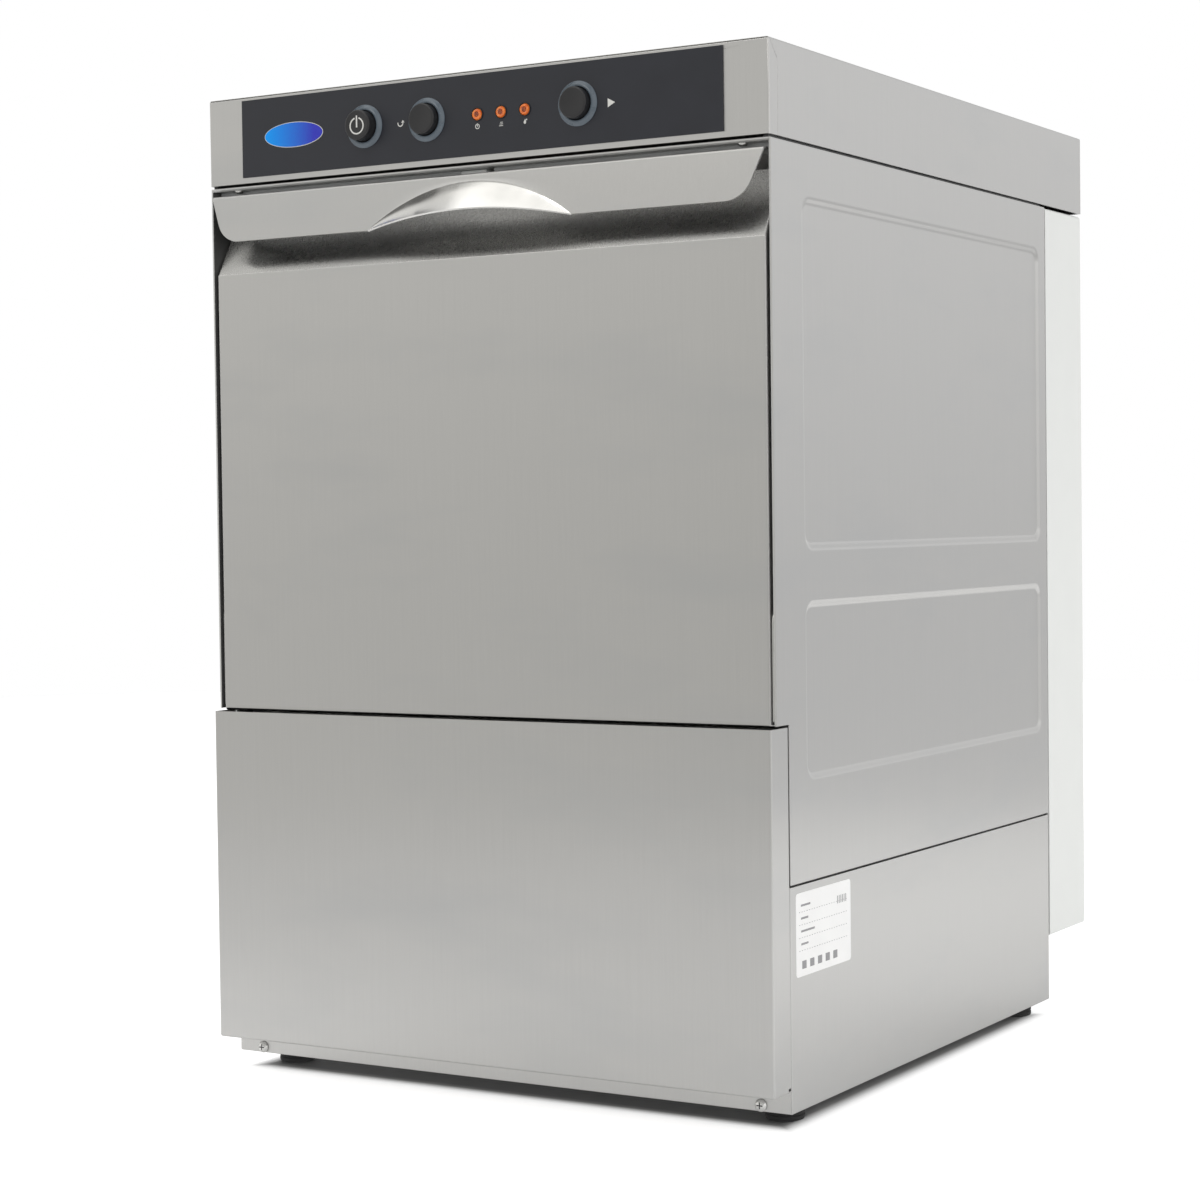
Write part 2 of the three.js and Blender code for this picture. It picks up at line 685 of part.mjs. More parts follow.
// A hollow spray arm seen from above, with a bored hub and rounded, narrower ends.
function armSolid(length, hubRadius, tipRadius, boreRadius, [z0, z1]) {
  const shape = new THREE.Shape();
  const tip = length - tipRadius;
  shape.absarc(tip, 0, tipRadius, -Math.PI / 2, Math.PI / 2);
  shape.lineTo(hubRadius * 1.5, tipRadius);
  shape.absarc(0, 0, hubRadius, 0.35 * Math.PI, 0.65 * Math.PI);
  shape.lineTo(-hubRadius * 1.5, tipRadius);
  shape.absarc(-tip, 0, tipRadius, Math.PI / 2, 1.5 * Math.PI);
  shape.lineTo(-hubRadius * 1.5, -tipRadius);
  shape.absarc(0, 0, hubRadius, 1.35 * Math.PI, 1.65 * Math.PI);
  shape.lineTo(hubRadius * 1.5, -tipRadius);
  shape.closePath();
  const bore = new THREE.Path();
  bore.absarc(0, 0, boreRadius, 0, 2 * Math.PI, true);
  shape.holes.push(bore);
  const geometry = new THREE.ExtrudeGeometry(
    shape, { depth: z1 - z0, bevelEnabled: false, curveSegments: 5 });
  geometry.translate(0, armCentreDepth, z0);
  return solidOf(geometry);
}

const washArm = { length: 168, hub: 24, tip: 13, bore: 9.5 };
const rinseArm = { length: 164, hub: 15, tip: 6.5, bore: 5.5 };

function addArms() {
  const addArm = (name, arm, heights) => place(
    name, armSolid(arm.length, arm.hub, arm.tip, arm.bore, heights), polishedSteel);
  addArm('lower_wash_arm', washArm, [238.4, 253]);
  addArm('lower_rinse_arm', rinseArm, [256.4, 264.4]);
  addArm('upper_wash_arm', washArm, [566.6, 581.2]);
  addArm('upper_rinse_arm', rinseArm, [555.2, 563.2]);

  const lowerSpindle = turned([
    [0, tankFloor + gap], [24, tankFloor + gap], [24, 172], [14, 176], [12, 230], [15, 233], [15, 238],
    [9, 238], [9, 256], [5, 256], [5, 274], [0, 274],
  ], 16);
  place('lower_spindle', at(lowerSpindle, 0, armCentreDepth, 0), greyPlastic);

  const roof = bodyTop - roofThickness - gap;
  const upperStem = turned([[0, 546], [5, 546], [5, 563.6], [9, 563.6], [9, 583], [0, 583]], 20);
  const upperSpindle = joined(upperStem, block([-14, 14], [-14, 14], [582, roof]));
  place('upper_spindle', at(upperSpindle, 0, armCentreDepth, 0), greyPlastic);

  const nutProfile = [
    [5.5, 264.8], [11, 264.8], [13, 268], [13, 276], [9, 279], [0, 279], [0, 274.5], [5.5, 274.5],
    [5.5, 264.8],
  ];
  place('lower_arm_nut', at(turned(nutProfile, 12), 0, armCentreDepth, 0), bluePlastic);
  const mirrorHeight = 264.8 + 554.8;   // the two nuts are mirror images, one below the other
  const upperNut = nutProfile.map(([radius, z]) => [radius, mirrorHeight - z]).reverse();
  place('upper_arm_nut', at(turned(upperNut, 12), 0, armCentreDepth, 0), bluePlastic);

  const riserDepth = 437;
  const runHeight = 594.5;
  const riser = tube([
    [0, riserDepth, tankFloor + gap], [0, riserDepth, 260], [0, riserDepth, 420], [0, riserDepth, 564],
    [0, riserDepth - 2, 581], [0, riserDepth - 12, 592], [0, riserDepth - 28, runHeight],
    [0, 330, runHeight], [0, armCentreDepth + 14 + gap, runHeight],
  ], 9, 20, 10);
  place('riser_pipe', riser, greyPlastic);
}

function addTankFittings() {
  const filterHeight = 214;
  const filter = cut(
    joined(
      block([-210.5, 210.5], [40, 418], [filterHeight, filterHeight + 1.5]),
      block([-210.5, 210.5], [40, 41.5], [filterHeight - 12, filterHeight + 1]),
      block([-210.5, 210.5], [416.5, 418], [filterHeight - 12, filterHeight + 1])),
    at(disc(20, [200, 220], 20), 0, armCentreDepth, 0),
    at(disc(17, [200, 220], 20), 150, 395, 0));
  place('tank_filter', filter, brushedSteel);

  const standPipe = turned([
    [11, tankFloor + gap], [16, tankFloor + gap], [16, 172], [14, 176], [14, 230], [11, 230],
    [11, tankFloor + gap],
  ], 16);
  place('overflow_pipe', at(standPipe, 150, 395, 0), greyPlastic);

  const reach = 120;
  const legs = 70;
  const elementHeight = 186;
  const wall = bodyBack - sheet - gap;
  const element = tube([
    [-legs, wall, elementHeight], [-legs, 330, elementHeight], [-legs, 190, elementHeight],
    [-legs * 0.72, reach + 16, elementHeight], [0, reach, elementHeight],
    [legs * 0.72, reach + 16, elementHeight], [legs, 190, elementHeight],
    [legs, 330, elementHeight], [legs, wall, elementHeight],
  ], 4.2, 20, 6);
  place('tank_element', element, castMetal);

  for (const [name, side] of sides) {
    const wallFace = bodyHalfWidth - sheet - pressingDepth - gap;
    const shelf = joined(
      block([168, wallFace], [44, 444], [railTop - sheet, railTop]),
      block([wallFace - sheet, wallFace], [44, 444], [railTop - sheet, railTop + 10]),
      block([168, 168 + sheet], [44, 444], [railTop - 8, railTop]));
    place(`rack_rail_${name}`, side > 0 ? shelf : shelf.mirror([1, 0, 0]), brushedSteel);
  }
}

function addGlassRack() {
  const wall = 5;
  const floor = 6;
  const rackFront = armCentreDepth - rackHalf;
  const rackBack = armCentreDepth + rackHalf;
  const rackTop = rackBottom + rackHeight;
  const tools = [
    block(bothSides(rackHalf - wall), [rackFront + wall, rackBack - wall], [rackBottom + floor, rackTop + 1]),
  ];
  const cells = 6;
  const cellPitch = (2 * rackHalf - 20) / cells;
  const bar = 9;
  for (let i = 0; i < cells; i += 1) {
    for (let j = 0; j < cells; j += 1) {
      const x = -rackHalf + 10 + i * cellPitch;
      const y = rackFront + 10 + j * cellPitch;
      tools.push(block(
        [x + bar / 2, x + cellPitch - bar / 2], [y + bar / 2, y + cellPitch - bar / 2],
        [rackBottom - 1, rackBottom + floor + 1]));
    }
  }
  const windows = 4;
  const windowPitch = (2 * rackHalf - 20) / windows;
  const windowHeights = [rackBottom + 24, rackBottom + 66];
  for (let i = 0; i < windows; i += 1) {
    const from = -rackHalf + 10 + i * windowPitch + 6;
    const to = from + windowPitch - 12;
    tools.push(block([from, to], [rackFront - 1, rackBack + 1], windowHeights));
    tools.push(block(
      bothSides(rackHalf + 1), [armCentreDepth + from, armCentreDepth + to], windowHeights));
  }
  const blank = block(bothSides(rackHalf), [rackFront, rackBack], [rackBottom, rackTop]);
  place('glass_rack', cut(blank, ...tools), bluePlastic);
}

function addMachinery() {
  const pumpAxis = [150, 74];
  const pump = joined(
    at(facingX(turned([[0, -60], [50, -60], [54, -50], [54, -30], [50, -22], [0, -22]], 16)), 0, ...pumpAxis),
    at(facingX(turned([[0, -24], [43, -24], [43, 86], [36, 94], [0, 94]], 14)), 0, ...pumpAxis),
    at(disc(17, [110, tankFloor - sheet - gap], 12), -41, pumpAxis[0], 0));
  place('wash_pump', pump, castMetal);

  const drainPump = joined(
    at(facingX(disc(26, [110, 180], 20)), 0, 110, 46),
    at(facingX(disc(34, [96, 112], 20)), 0, 110, 50));
  place('drain_pump', drainPump, greyPlastic);

  const boiler = facingX(turned([
    [0, -170], [30, -166], [50, -150], [55, -130], [55, 90], [50, 110], [30, 126], [0, 130],
  ], 18));
  place('boiler', at(boiler, 0, 340, 80), polishedSteel);
}

// ---- Assembly -----------------------------------------------------------------------------------

addTopCover();
addFascia();
for (const [name, x, capFront] of buttons) addButton(name, x, capFront);
['power', 'heating', 'cycle'].forEach((name, i) => addLamp(name, lampX[i]));
addHeadContents();
addWashTank();
addGasket();
addBase();
addKickPanel();
addRearCover();
addDoorSkins();
addDoorHandle();
addHinges();
addArms();
addTankFittings();
addGlassRack();
addMachinery();

export default machine;
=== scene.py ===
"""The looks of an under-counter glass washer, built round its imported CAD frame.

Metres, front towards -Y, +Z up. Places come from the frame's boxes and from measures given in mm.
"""

import json
import math

import bmesh
import bpy
from mathutils import Matrix, Vector

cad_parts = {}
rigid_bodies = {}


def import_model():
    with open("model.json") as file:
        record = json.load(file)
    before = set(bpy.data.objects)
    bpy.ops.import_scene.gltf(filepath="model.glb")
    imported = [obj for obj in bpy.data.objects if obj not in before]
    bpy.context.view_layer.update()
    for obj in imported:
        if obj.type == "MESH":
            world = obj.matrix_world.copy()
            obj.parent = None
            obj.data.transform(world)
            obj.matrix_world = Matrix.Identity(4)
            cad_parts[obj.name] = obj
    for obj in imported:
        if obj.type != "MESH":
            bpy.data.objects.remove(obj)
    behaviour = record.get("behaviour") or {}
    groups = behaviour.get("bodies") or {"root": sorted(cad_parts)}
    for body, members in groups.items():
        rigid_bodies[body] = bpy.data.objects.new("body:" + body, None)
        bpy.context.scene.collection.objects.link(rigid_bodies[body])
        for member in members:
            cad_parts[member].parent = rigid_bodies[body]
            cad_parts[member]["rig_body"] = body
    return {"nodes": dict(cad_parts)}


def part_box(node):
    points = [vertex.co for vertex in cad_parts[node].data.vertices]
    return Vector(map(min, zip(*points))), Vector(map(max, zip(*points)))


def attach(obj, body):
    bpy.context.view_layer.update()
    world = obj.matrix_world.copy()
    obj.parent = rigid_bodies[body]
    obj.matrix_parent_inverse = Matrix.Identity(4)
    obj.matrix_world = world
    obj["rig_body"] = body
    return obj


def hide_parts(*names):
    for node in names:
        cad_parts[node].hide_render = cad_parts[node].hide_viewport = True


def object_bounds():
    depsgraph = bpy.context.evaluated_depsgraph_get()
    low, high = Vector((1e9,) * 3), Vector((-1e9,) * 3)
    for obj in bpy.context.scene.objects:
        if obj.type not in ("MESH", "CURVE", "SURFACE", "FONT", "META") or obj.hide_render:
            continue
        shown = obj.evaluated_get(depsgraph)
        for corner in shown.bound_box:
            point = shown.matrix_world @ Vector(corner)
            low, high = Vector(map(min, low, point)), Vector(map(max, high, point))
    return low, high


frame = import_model()
cad_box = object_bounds()

MM = 0.001
low, high = cad_box
centre = (low + high) / 2


# ---- Camera and studio ---------------------------------------------------------------------------

def look_matrix(azimuth, elevation, roll):
    """Axes of a camera that looks along +Y at azimuth 0, and down by elevation (degrees)."""
    a, e, r = (math.radians(v) for v in (azimuth, elevation, roll))
    forward = Vector((-math.sin(a) * math.cos(e), math.cos(a) * math.cos(e), -math.sin(e)))
    level = Vector((math.cos(a), math.sin(a), 0))
    over = level.cross(forward)
    right = level * math.cos(r) + over * math.sin(r)
    up = right.cross(forward)
    return forward, Matrix((right, up, -forward)).transposed()


def add_camera():
    data = bpy.data.cameras.new("camera")
    data.sensor_width = 36
    data.lens = 78.3
    camera = bpy.data.objects.new("camera", data)
    bpy.context.scene.collection.objects.link(camera)
    forward, axes = look_matrix(azimuth=30.85, elevation=1.84, roll=-0.73)
    aim = centre + Vector((-0.0460, -0.0266, -0.0147))
    distance = 1.910
    camera.matrix_world = Matrix.Translation(aim - forward * distance) @ axes.to_4x4()
    bpy.context.scene.camera = camera


def add_sun(name, direction, strength, angle, colour):
    """A softbox so far away that it is seen at one angle everywhere. direction points at it."""
    data = bpy.data.lights.new(name, "SUN")
    data.energy = strength
    data.angle = math.radians(angle)
    data.color = colour
    sun = bpy.data.objects.new(name, data)
    bpy.context.scene.collection.objects.link(sun)
    sun.rotation_euler = Vector(direction).to_track_quat("Z", "Y").to_euler()


def add_world():
    """A pale studio. What the front mirrors is a warm grey that brightens to the left and upwards, with
    a bright window overhead and a dark flag beside it; what the right side mirrors is neutral."""
    world = bpy.data.worlds.new("studio")
    bpy.context.scene.world = world
    world.use_nodes = True
    tree = world.node_tree
    coord = tree.nodes.new("ShaderNodeTexCoord")
    split = tree.nodes.new("ShaderNodeSeparateXYZ")
    tree.links.new(coord.outputs["Generated"], split.inputs[0])
    x, y, z = (split.outputs[axis] for axis in "XYZ")
    left_glow = ranged(tree, x, -0.74, -0.46, 0.90, 0.515)
    front = mixed_colour(tree, left_glow, (0.0, 0.0, 0.0), (1.0, 0.990, 0.955))
    back_glow = ranged(tree, x, 0.33, 0.47, 0.815, 0.74)
    back = mixed_colour(tree, back_glow, (0.0, 0.0, 0.0), (1.0, 1.0, 1.005))
    colour = mixed_colour(tree, ranged(tree, y, -0.3, 0.6, 0, 1), front, back)
    horizon = combine(tree, "ADD", ranged(tree, z, -0.02, 0.14, 1.0, 1.22),
                      ranged(tree, z, 0.2, 0.36, 0, -0.12))
    horizon = combine(tree, "ADD", horizon, ranged(tree, z, 0.45, 0.60, 0, -0.25))
    window = product(tree, ranged(tree, x, -0.61, -0.55, 0, 1), ranged(tree, x, 0.0, 0.2, 1, 0),
                     ranged(tree, z, 0.57, 0.64, 0, 1.25))
    flag = product(tree, ranged(tree, x, -0.515, -0.575, 0, 1), ranged(tree, y, -0.15, -0.27, 0, 1),
                   ranged(tree, z, 0.42, 0.50, 0, 1), ranged(tree, z, 0.735, 0.68, 0, 1))
    strength = combine(tree, "MULTIPLY", combine(tree, "ADD", horizon, window),
                       ranged(tree, flag, 0, 1, 1, 0.2))
    tree.links.new(colour, tree.nodes["Background"].inputs["Color"])
    tree.links.new(strength, tree.nodes["Background"].inputs["Strength"])


def stage_piece(name, bm, material, **visibility):
    mesh = bpy.data.meshes.new(name)
    bm.to_mesh(mesh)
    bm.free()
    mesh.materials.append(material)
    obj = bpy.data.objects.new(name, mesh)
    bpy.context.scene.collection.objects.link(obj)
    for ray, seen in visibility.items():
        setattr(obj, ray, seen)
    return obj


def floor_disc(radius, drop):
    disc = bmesh.new()
    bmesh.ops.create_circle(disc, cap_ends=True, radius=radius, segments=96)
    bmesh.ops.translate(disc, verts=disc.verts, vec=(0, 0, low.z - drop))
    return disc


def add_stage():
    """A pale table top, and a white dome that only the camera sees.

    The table is two discs: what the camera sees is overexposed to white with a contact shadow that is
    partly real and partly painted, a painted glow just outside the base and painted shadow under it. What
    the steel mirrors is the same table with painted light in patches beside and in front of the machine.
    """
    material, tree, shader = new_material("floor_seen", (0.86, 0.86, 0.865), 0.6)
    shader.inputs["Specular IOR Level"].default_value = 0.1
    distance = footprint_distance(tree)
    # Painted light: a glow that is strongest just outside the base and fades further out, with none under
    # the machine, so the floor reads white right up to a tight shadow.
    painted_glow_near_base = combine(
        tree, "MULTIPLY", ranged(tree, distance, -0.014, -0.003, 0, 1),
        ranged(tree, distance, 0.01, 0.25, 0.62, 0.40))
    shader.inputs["Emission Color"].default_value = (1, 1, 1, 1)
    tree.links.new(painted_glow_near_base, shader.inputs["Emission Strength"])
    # Painted shadow: the floor's colour is darker under the machine's base.
    under = ranged(tree, distance, -0.02, 0.004, 0, 1)
    tree.links.new(mixed_colour(tree, under, (0.22, 0.22, 0.225), (0.86, 0.86, 0.865)),
                   shader.inputs["Base Color"])
    stage_piece(
        "floor", floor_disc(radius=4, drop=0.0002), material, visible_diffuse=False,
        visible_glossy=False, visible_transmission=False, visible_shadow=False)

    material, tree, shader = new_material("floor_mirrored", (0.80, 0.80, 0.80), 0.7)
    shader.inputs["Specular IOR Level"].default_value = 0.1
    split = tree.nodes.new("ShaderNodeSeparateXYZ")
    tree.links.new(place_texture(tree, (1, 1, 1)), split.inputs[0])
    shader.inputs["Emission Color"].default_value = (1, 1, 1, 1)
    # Painted light: glow patches on the mirrored floor beside and in front of the machine, which brighten
    # the steel's reflections there.
    beside = combine(tree, "MULTIPLY", ranged(tree, split.outputs["X"], 0.15, 0.65, 0.02, 0.235),
                     ranged(tree, split.outputs["Y"], 0.6, 1.4, 1, 0.4))
    before = combine(tree, "MULTIPLY", ranged(tree, split.outputs["X"], -0.45, 0.05, 0.30, 0.14),
                     ranged(tree, split.outputs["Y"], -0.80, -0.38, 0, 1))
    tree.links.new(combine(tree, "ADD", beside, before), shader.inputs["Emission Strength"])
    mottle(tree, shader, (0.79, 0.79, 0.79), (0.81, 0.81, 0.81), scale=3)
    stage_piece("floor_reflected", floor_disc(radius=1.6, drop=0.0004), material, visible_camera=False)

    dome = bmesh.new()
    bmesh.ops.create_uvsphere(dome, u_segments=48, v_segments=24, radius=12)
    glow = bpy.data.materials.new("studio_white")
    glow.use_nodes = True
    glow.node_tree.nodes.clear()
    emission = glow.node_tree.nodes.new("ShaderNodeEmission")
    output = glow.node_tree.nodes.new("ShaderNodeOutputMaterial")
    glow.node_tree.links.new(emission.outputs[0], output.inputs["Surface"])
    stage_piece(
        "backdrop", dome, glow, visible_diffuse=False, visible_glossy=False,
        visible_transmission=False, visible_shadow=False)


def footprint_distance(tree):
    """How far outside the machine's base a point of the floor is, in metres."""
    base_low, base_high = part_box("base_chassis")
    middle, half = (base_low + base_high) / 2, (base_high - base_low) / 2
    split = tree.nodes.new("ShaderNodeSeparateXYZ")
    tree.links.new(place_texture(tree, (1, 1, 1)), split.inputs[0])
    distances = []
    for axis, centre_at, half_size in (("X", middle.x, half.x), ("Y", middle.y, half.y)):
        offset = combine(tree, "ABSOLUTE", combine(tree, "SUBTRACT", split.outputs[axis], centre_at), 0.0)
        distances.append(combine(tree, "SUBTRACT", offset, half_size))
    return combine(tree, "MAXIMUM", *distances)


# ---- Material helpers ----------------------------------------------------------------------------

def new_material(name, colour, roughness, metallic=0.0):
    material = bpy.data.materials.new(name)
    material.use_nodes = True
    tree = material.node_tree
    shader = tree.nodes["Principled BSDF"]
    shader.inputs["Base Color"].default_value = (*colour, 1)
    shader.inputs["Roughness"].default_value = roughness
    shader.inputs["Metallic"].default_value = metallic
    return material, tree, shader


def place_texture(tree, scale):
    """The place on the object at rest, in cells of 1 / scale metres."""
    coord = tree.nodes.new("ShaderNodeTexCoord")
    mapping = tree.nodes.new("ShaderNodeMapping")
    mapping.inputs["Scale"].default_value = scale
    tree.links.new(coord.outputs["Object"], mapping.inputs["Vector"])
    return mapping.outputs["Vector"]


def noise(tree, scale, detail=2.0, roughness=0.5):
    """A noise from 0 to 1; scale is cells per metre, one number or one for each axis."""
    spread = scale if hasattr(scale, "__len__") else (scale,) * 3
    texture = tree.nodes.new("ShaderNodeTexNoise")
    texture.inputs["Scale"].default_value = 1
    texture.inputs["Detail"].default_value = detail
    texture.inputs["Roughness"].default_value = roughness
    tree.links.new(place_texture(tree, spread), texture.inputs["Vector"])
    return texture.outputs["Fac"]


def ranged(tree, value, from_low, from_high, to_low, to_high):
    node = tree.nodes.new("ShaderNodeMapRange")
    for name, number in zip(("From Min", "From Max", "To Min", "To Max"),
                            (from_low, from_high, to_low, to_high)):
        node.inputs[name].default_value = number
    tree.links.new(value, node.inputs["Value"])
    return node.outputs["Result"]


def combine(tree, operation, first, second):
    """Maths on two sockets, or on a socket and a number."""
    node = tree.nodes.new("ShaderNodeMath")
    node.operation = operation
    for i, value in enumerate((first, second)):
        if isinstance(value, (int, float)):
            node.inputs[i].default_value = value
        else:
            tree.links.new(value, node.inputs[i])
    return node.outputs[0]


def product(tree, first, *others):
    for other in others:
        first = combine(tree, "MULTIPLY", first, other)
    return first


def mixed_colour(tree, share, first, second):
    mix = tree.nodes.new("ShaderNodeMix")
    mix.data_type = "RGBA"
    tree.links.new(share, mix.inputs["Factor"])
    for socket, colour in ((mix.inputs[6], first), (mix.inputs[7], second)):
        if isinstance(colour, tuple):
            socket.default_value = (*colour, 1)
        else:
            tree.links.new(colour, socket)
    return mix.outputs[2]


def bump(tree, shader, height, depth, strength=1.0):
    """Raises the surface by up to depth metres where height is 1."""
    node = tree.nodes.new("ShaderNodeBump")
    node.inputs["Strength"].default_value = strength
    node.inputs["Distance"].default_value = depth
    tree.links.new(height, node.inputs["Height"])
    tree.links.new(node.outputs["Normal"], shader.inputs["Normal"])


def mottle(tree, shader, dark, light, scale):
    share = ranged(tree, noise(tree, scale, detail=3), 0.35, 0.65, 0, 1)
    tree.links.new(mixed_colour(tree, share, dark, light), shader.inputs["Base Color"])


# ---- Materials -----------------------------------------------------------------------------------

def shaded(colour, factor):
    return tuple(channel * factor for channel in colour)


def brushed_steel(name, grain=2, colour=(0.60, 0.597, 0.588), roughness=0.33, smudge=0.5):
    """Stainless sheet whose fine brushing runs along axis grain, with faint cloudy hand marks."""
    material, tree, shader = new_material(name, colour, roughness, metallic=1)
    fine_scale = [2600.0, 2600.0, 2600.0]
    fine_scale[grain] = 26.0
    wide_scale = [620.0, 620.0, 620.0]
    wide_scale[grain] = 9.0
    fine = noise(tree, fine_scale, detail=2)
    wide = noise(tree, wide_scale, detail=3, roughness=0.6)
    blend = combine(tree, "ADD", combine(tree, "MULTIPLY", fine, 0.6), combine(tree, "MULTIPLY", wide, 0.4))
    share = ranged(tree, blend, 0.36, 0.64, 0, 1)
    grainy = mixed_colour(tree, share, shaded(colour, 0.982), shaded(colour, 1.018))
    marks = ranged(tree, noise(tree, (5, 5, 16), detail=4, roughness=0.62), 0.50, 0.72, 0, smudge)
    cooler = (colour[0] * 0.94, colour[1] * 0.955, colour[2] * 0.975)
    tree.links.new(mixed_colour(tree, marks, grainy, cooler), shader.inputs["Base Color"])
    rough = combine(tree, "ADD", ranged(tree, blend, 0.3, 0.7, roughness - 0.03, roughness + 0.03),
                    combine(tree, "MULTIPLY", marks, 0.06))
    tree.links.new(rough, shader.inputs["Roughness"])
    bump(tree, shader, blend, depth=0.00002, strength=0.25)
    shader.inputs["Anisotropic"].default_value = 0.95
    tree.links.new(cross_grain(tree, grain), shader.inputs["Tangent"])
    return material


def cross_grain(tree, grain):
    """The direction that lies in the surface and crosses the brushing, along which light spreads."""
    if grain != 2:
        level = tree.nodes.new("ShaderNodeCombineXYZ")
        level.inputs[1 if grain == 0 else 0].default_value = 1
        level.inputs[2].default_value = 0.3 if grain == 0 else 0
        return level.outputs[0]
    geometry = tree.nodes.new("ShaderNodeNewGeometry")
    cross = tree.nodes.new("ShaderNodeVectorMath")
    cross.operation = "CROSS_PRODUCT"
    cross.inputs[0].default_value = (0, 0, 1)
    tree.links.new(geometry.outputs["Normal"], cross.inputs[1])
    nudged = tree.nodes.new("ShaderNodeVectorMath")
    nudged.inputs[1].default_value = (0.001, 0, 0)
    tree.links.new(cross.outputs[0], nudged.inputs[0])
    return nudged.outputs[0]


def polished_steel(name, colour=(0.70, 0.70, 0.69), roughness=0.16):
    material, tree, shader = new_material(name, colour, roughness, metallic=1)
    haze = noise(tree, 60, detail=4)
    tree.links.new(ranged(tree, haze, 0.3, 0.7, roughness - 0.05, roughness + 0.07),
                   shader.inputs["Roughness"])
    fine = noise(tree, (900, 900, 900), detail=2)
    share = ranged(tree, haze, 0.35, 0.65, 0, 1)
    tree.links.new(mixed_colour(tree, share, shaded(colour, 0.94), colour), shader.inputs["Base Color"])
    bump(tree, shader, fine, depth=0.00002, strength=0.3)
    return material


def moulded(name, colour, roughness, texture=2500, depth=0.00004, spread=0.12, coat=0.0):
    """Plastic, rubber or paint: a fine skin texture and a slight unevenness of colour and gloss."""
    material, tree, shader = new_material(name, colour, roughness)
    mottle(tree, shader, shaded(colour, 1 - spread), shaded(colour, 1 + spread), scale=45)
    skin = noise(tree, texture, detail=2)
    tree.links.new(ranged(tree, noise(tree, 90, detail=3), 0.3, 0.7, roughness - 0.05, roughness + 0.05),
                   shader.inputs["Roughness"])
    bump(tree, shader, skin, depth=depth, strength=0.5)
    shader.inputs["Coat Weight"].default_value = coat
    return material


def lens_material(name, dark, light, glow):
    material, tree, shader = new_material(name, light, 0.12)
    mottle(tree, shader, dark, light, scale=500)
    shader.inputs["Transmission Weight"].default_value = 0.2
    shader.inputs["Coat Weight"].default_value = 0.7
    shader.inputs["Emission Color"].default_value = (1.0, 0.22, 0.03, 1)
    shader.inputs["Emission Strength"].default_value = glow
    bump(tree, shader, noise(tree, 1500, detail=1), depth=0.0001, strength=0.4)
    return material


def badge_material(left, right):
    """Deep blue print that turns lighter towards its left end."""
    material, tree, shader = new_material("badge_blue", (0.02, 0.2, 0.8), 0.3)
    split = tree.nodes.new("ShaderNodeSeparateXYZ")
    tree.links.new(place_texture(tree, (1, 1, 1)), split.inputs[0])
    share = ranged(tree, split.outputs["X"], left, right, 0, 1)
    speck = combine(tree, "ADD", share, ranged(tree, noise(tree, 700, detail=2), 0, 1, -0.06, 0.06))
    blue = mixed_colour(tree, speck, (0.0, 0.34, 1.0), (0.04, 0.045, 0.52))
    tree.links.new(blue, shader.inputs["Base Color"])
    shader.inputs["Specular IOR Level"].default_value = 0.25
    return material


# ---- Mesh helpers --------------------------------------------------------------------------------

def add_piece(name, bm, material, body, replaces=(), smooth=38):
    """Makes a mesh piece that rides on a body and stands for the CAD nodes in replaces."""
    mesh = bpy.data.meshes.new(name)
    bmesh.ops.remove_doubles(bm, verts=bm.verts, dist=1e-6)
    bm.to_mesh(mesh)
    bm.free()
    for entry in material if isinstance(material, (list, tuple)) else [material]:
        mesh.materials.append(entry)
    mesh.shade_smooth()
    mesh.set_sharp_from_angle(angle=math.radians(smooth))
    obj = bpy.data.objects.new(name, mesh)
    bpy.context.scene.collection.objects.link(obj)
    weighted = obj.modifiers.new("weighted_normals", "WEIGHTED_NORMAL")
    weighted.keep_sharp = True
    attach(obj, body)
    if replaces:
        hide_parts(*replaces)
    return obj


def cad_copy(node):
    """The CAD node's mesh with its flat faces whole again."""
    bm = bmesh.new()
    bm.from_mesh(frame["nodes"][node].data)
    bmesh.ops.remove_doubles(bm, verts=bm.verts, dist=2e-6)
    bmesh.ops.dissolve_limit(bm, angle_limit=math.radians(1), verts=bm.verts, edges=bm.edges)
    bmesh.ops.recalc_face_normals(bm, faces=bm.faces)
    return bm


def round_edges(bm, radius, where=None, segments=2, sharper=12):
    """Rounds the edges that are sharper than the angle and for which where(middle, direction) holds."""
    chosen = []
    for edge in bm.edges:
        if len(edge.link_faces) != 2 or edge.calc_face_angle(0) < math.radians(sharper):
            continue
        middle = (edge.verts[0].co + edge.verts[1].co) / 2
        direction = (edge.verts[1].co - edge.verts[0].co).normalized()
        if where is None or where(middle, direction):
            chosen.append(edge)
    if chosen:
        bmesh.ops.bevel(
            bm, geom=chosen, offset=radius, offset_type="OFFSET", segments=segments, profile=0.5,
            affect="EDGES", clamp_overlap=True)


def body_of(node):
    return frame["nodes"][node]["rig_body"]


def refine(node, material, radius=0.25 * MM, segments=2, bends=(), sharper=25):
    """Stands a copy of the CAD node for it, with rounded bends and softened edges."""
    bm = cad_copy(node)
    for bend_radius, where in bends:
        round_edges(bm, bend_radius, where, segments=4, sharper=12)
    round_edges(bm, radius, None, segments, sharper)
    return add_piece(node + "_shell", bm, material, body_of(node), [node])


def near(value, target, reach=0.15 * MM):
    return abs(value - target) < reach


def arc_points(corner, before, after, radius, steps):
    """A corner of an outline turned into an arc that touches both sides."""
    a = (before - corner).normalized()
    b = (after - corner).normalized()
    half = a.angle(b) / 2
    if radius <= 0 or half > math.radians(89.9):
        return [corner.copy() for _ in range(steps + 1)]
    middle = corner + (a + b).normalized() * (radius / math.sin(half))
    start = corner + a * (radius / math.tan(half))
    sweep = math.pi - 2 * half
    turn = 1 if a.x * b.y - a.y * b.x < 0 else -1
    spoke = start - middle
    points = []
    for i in range(steps + 1):
        angle = turn * sweep * i / steps
        points.append(middle + Vector((
            spoke.x * math.cos(angle) - spoke.y * math.sin(angle),
            spoke.x * math.sin(angle) + spoke.y * math.cos(angle))))
    return points


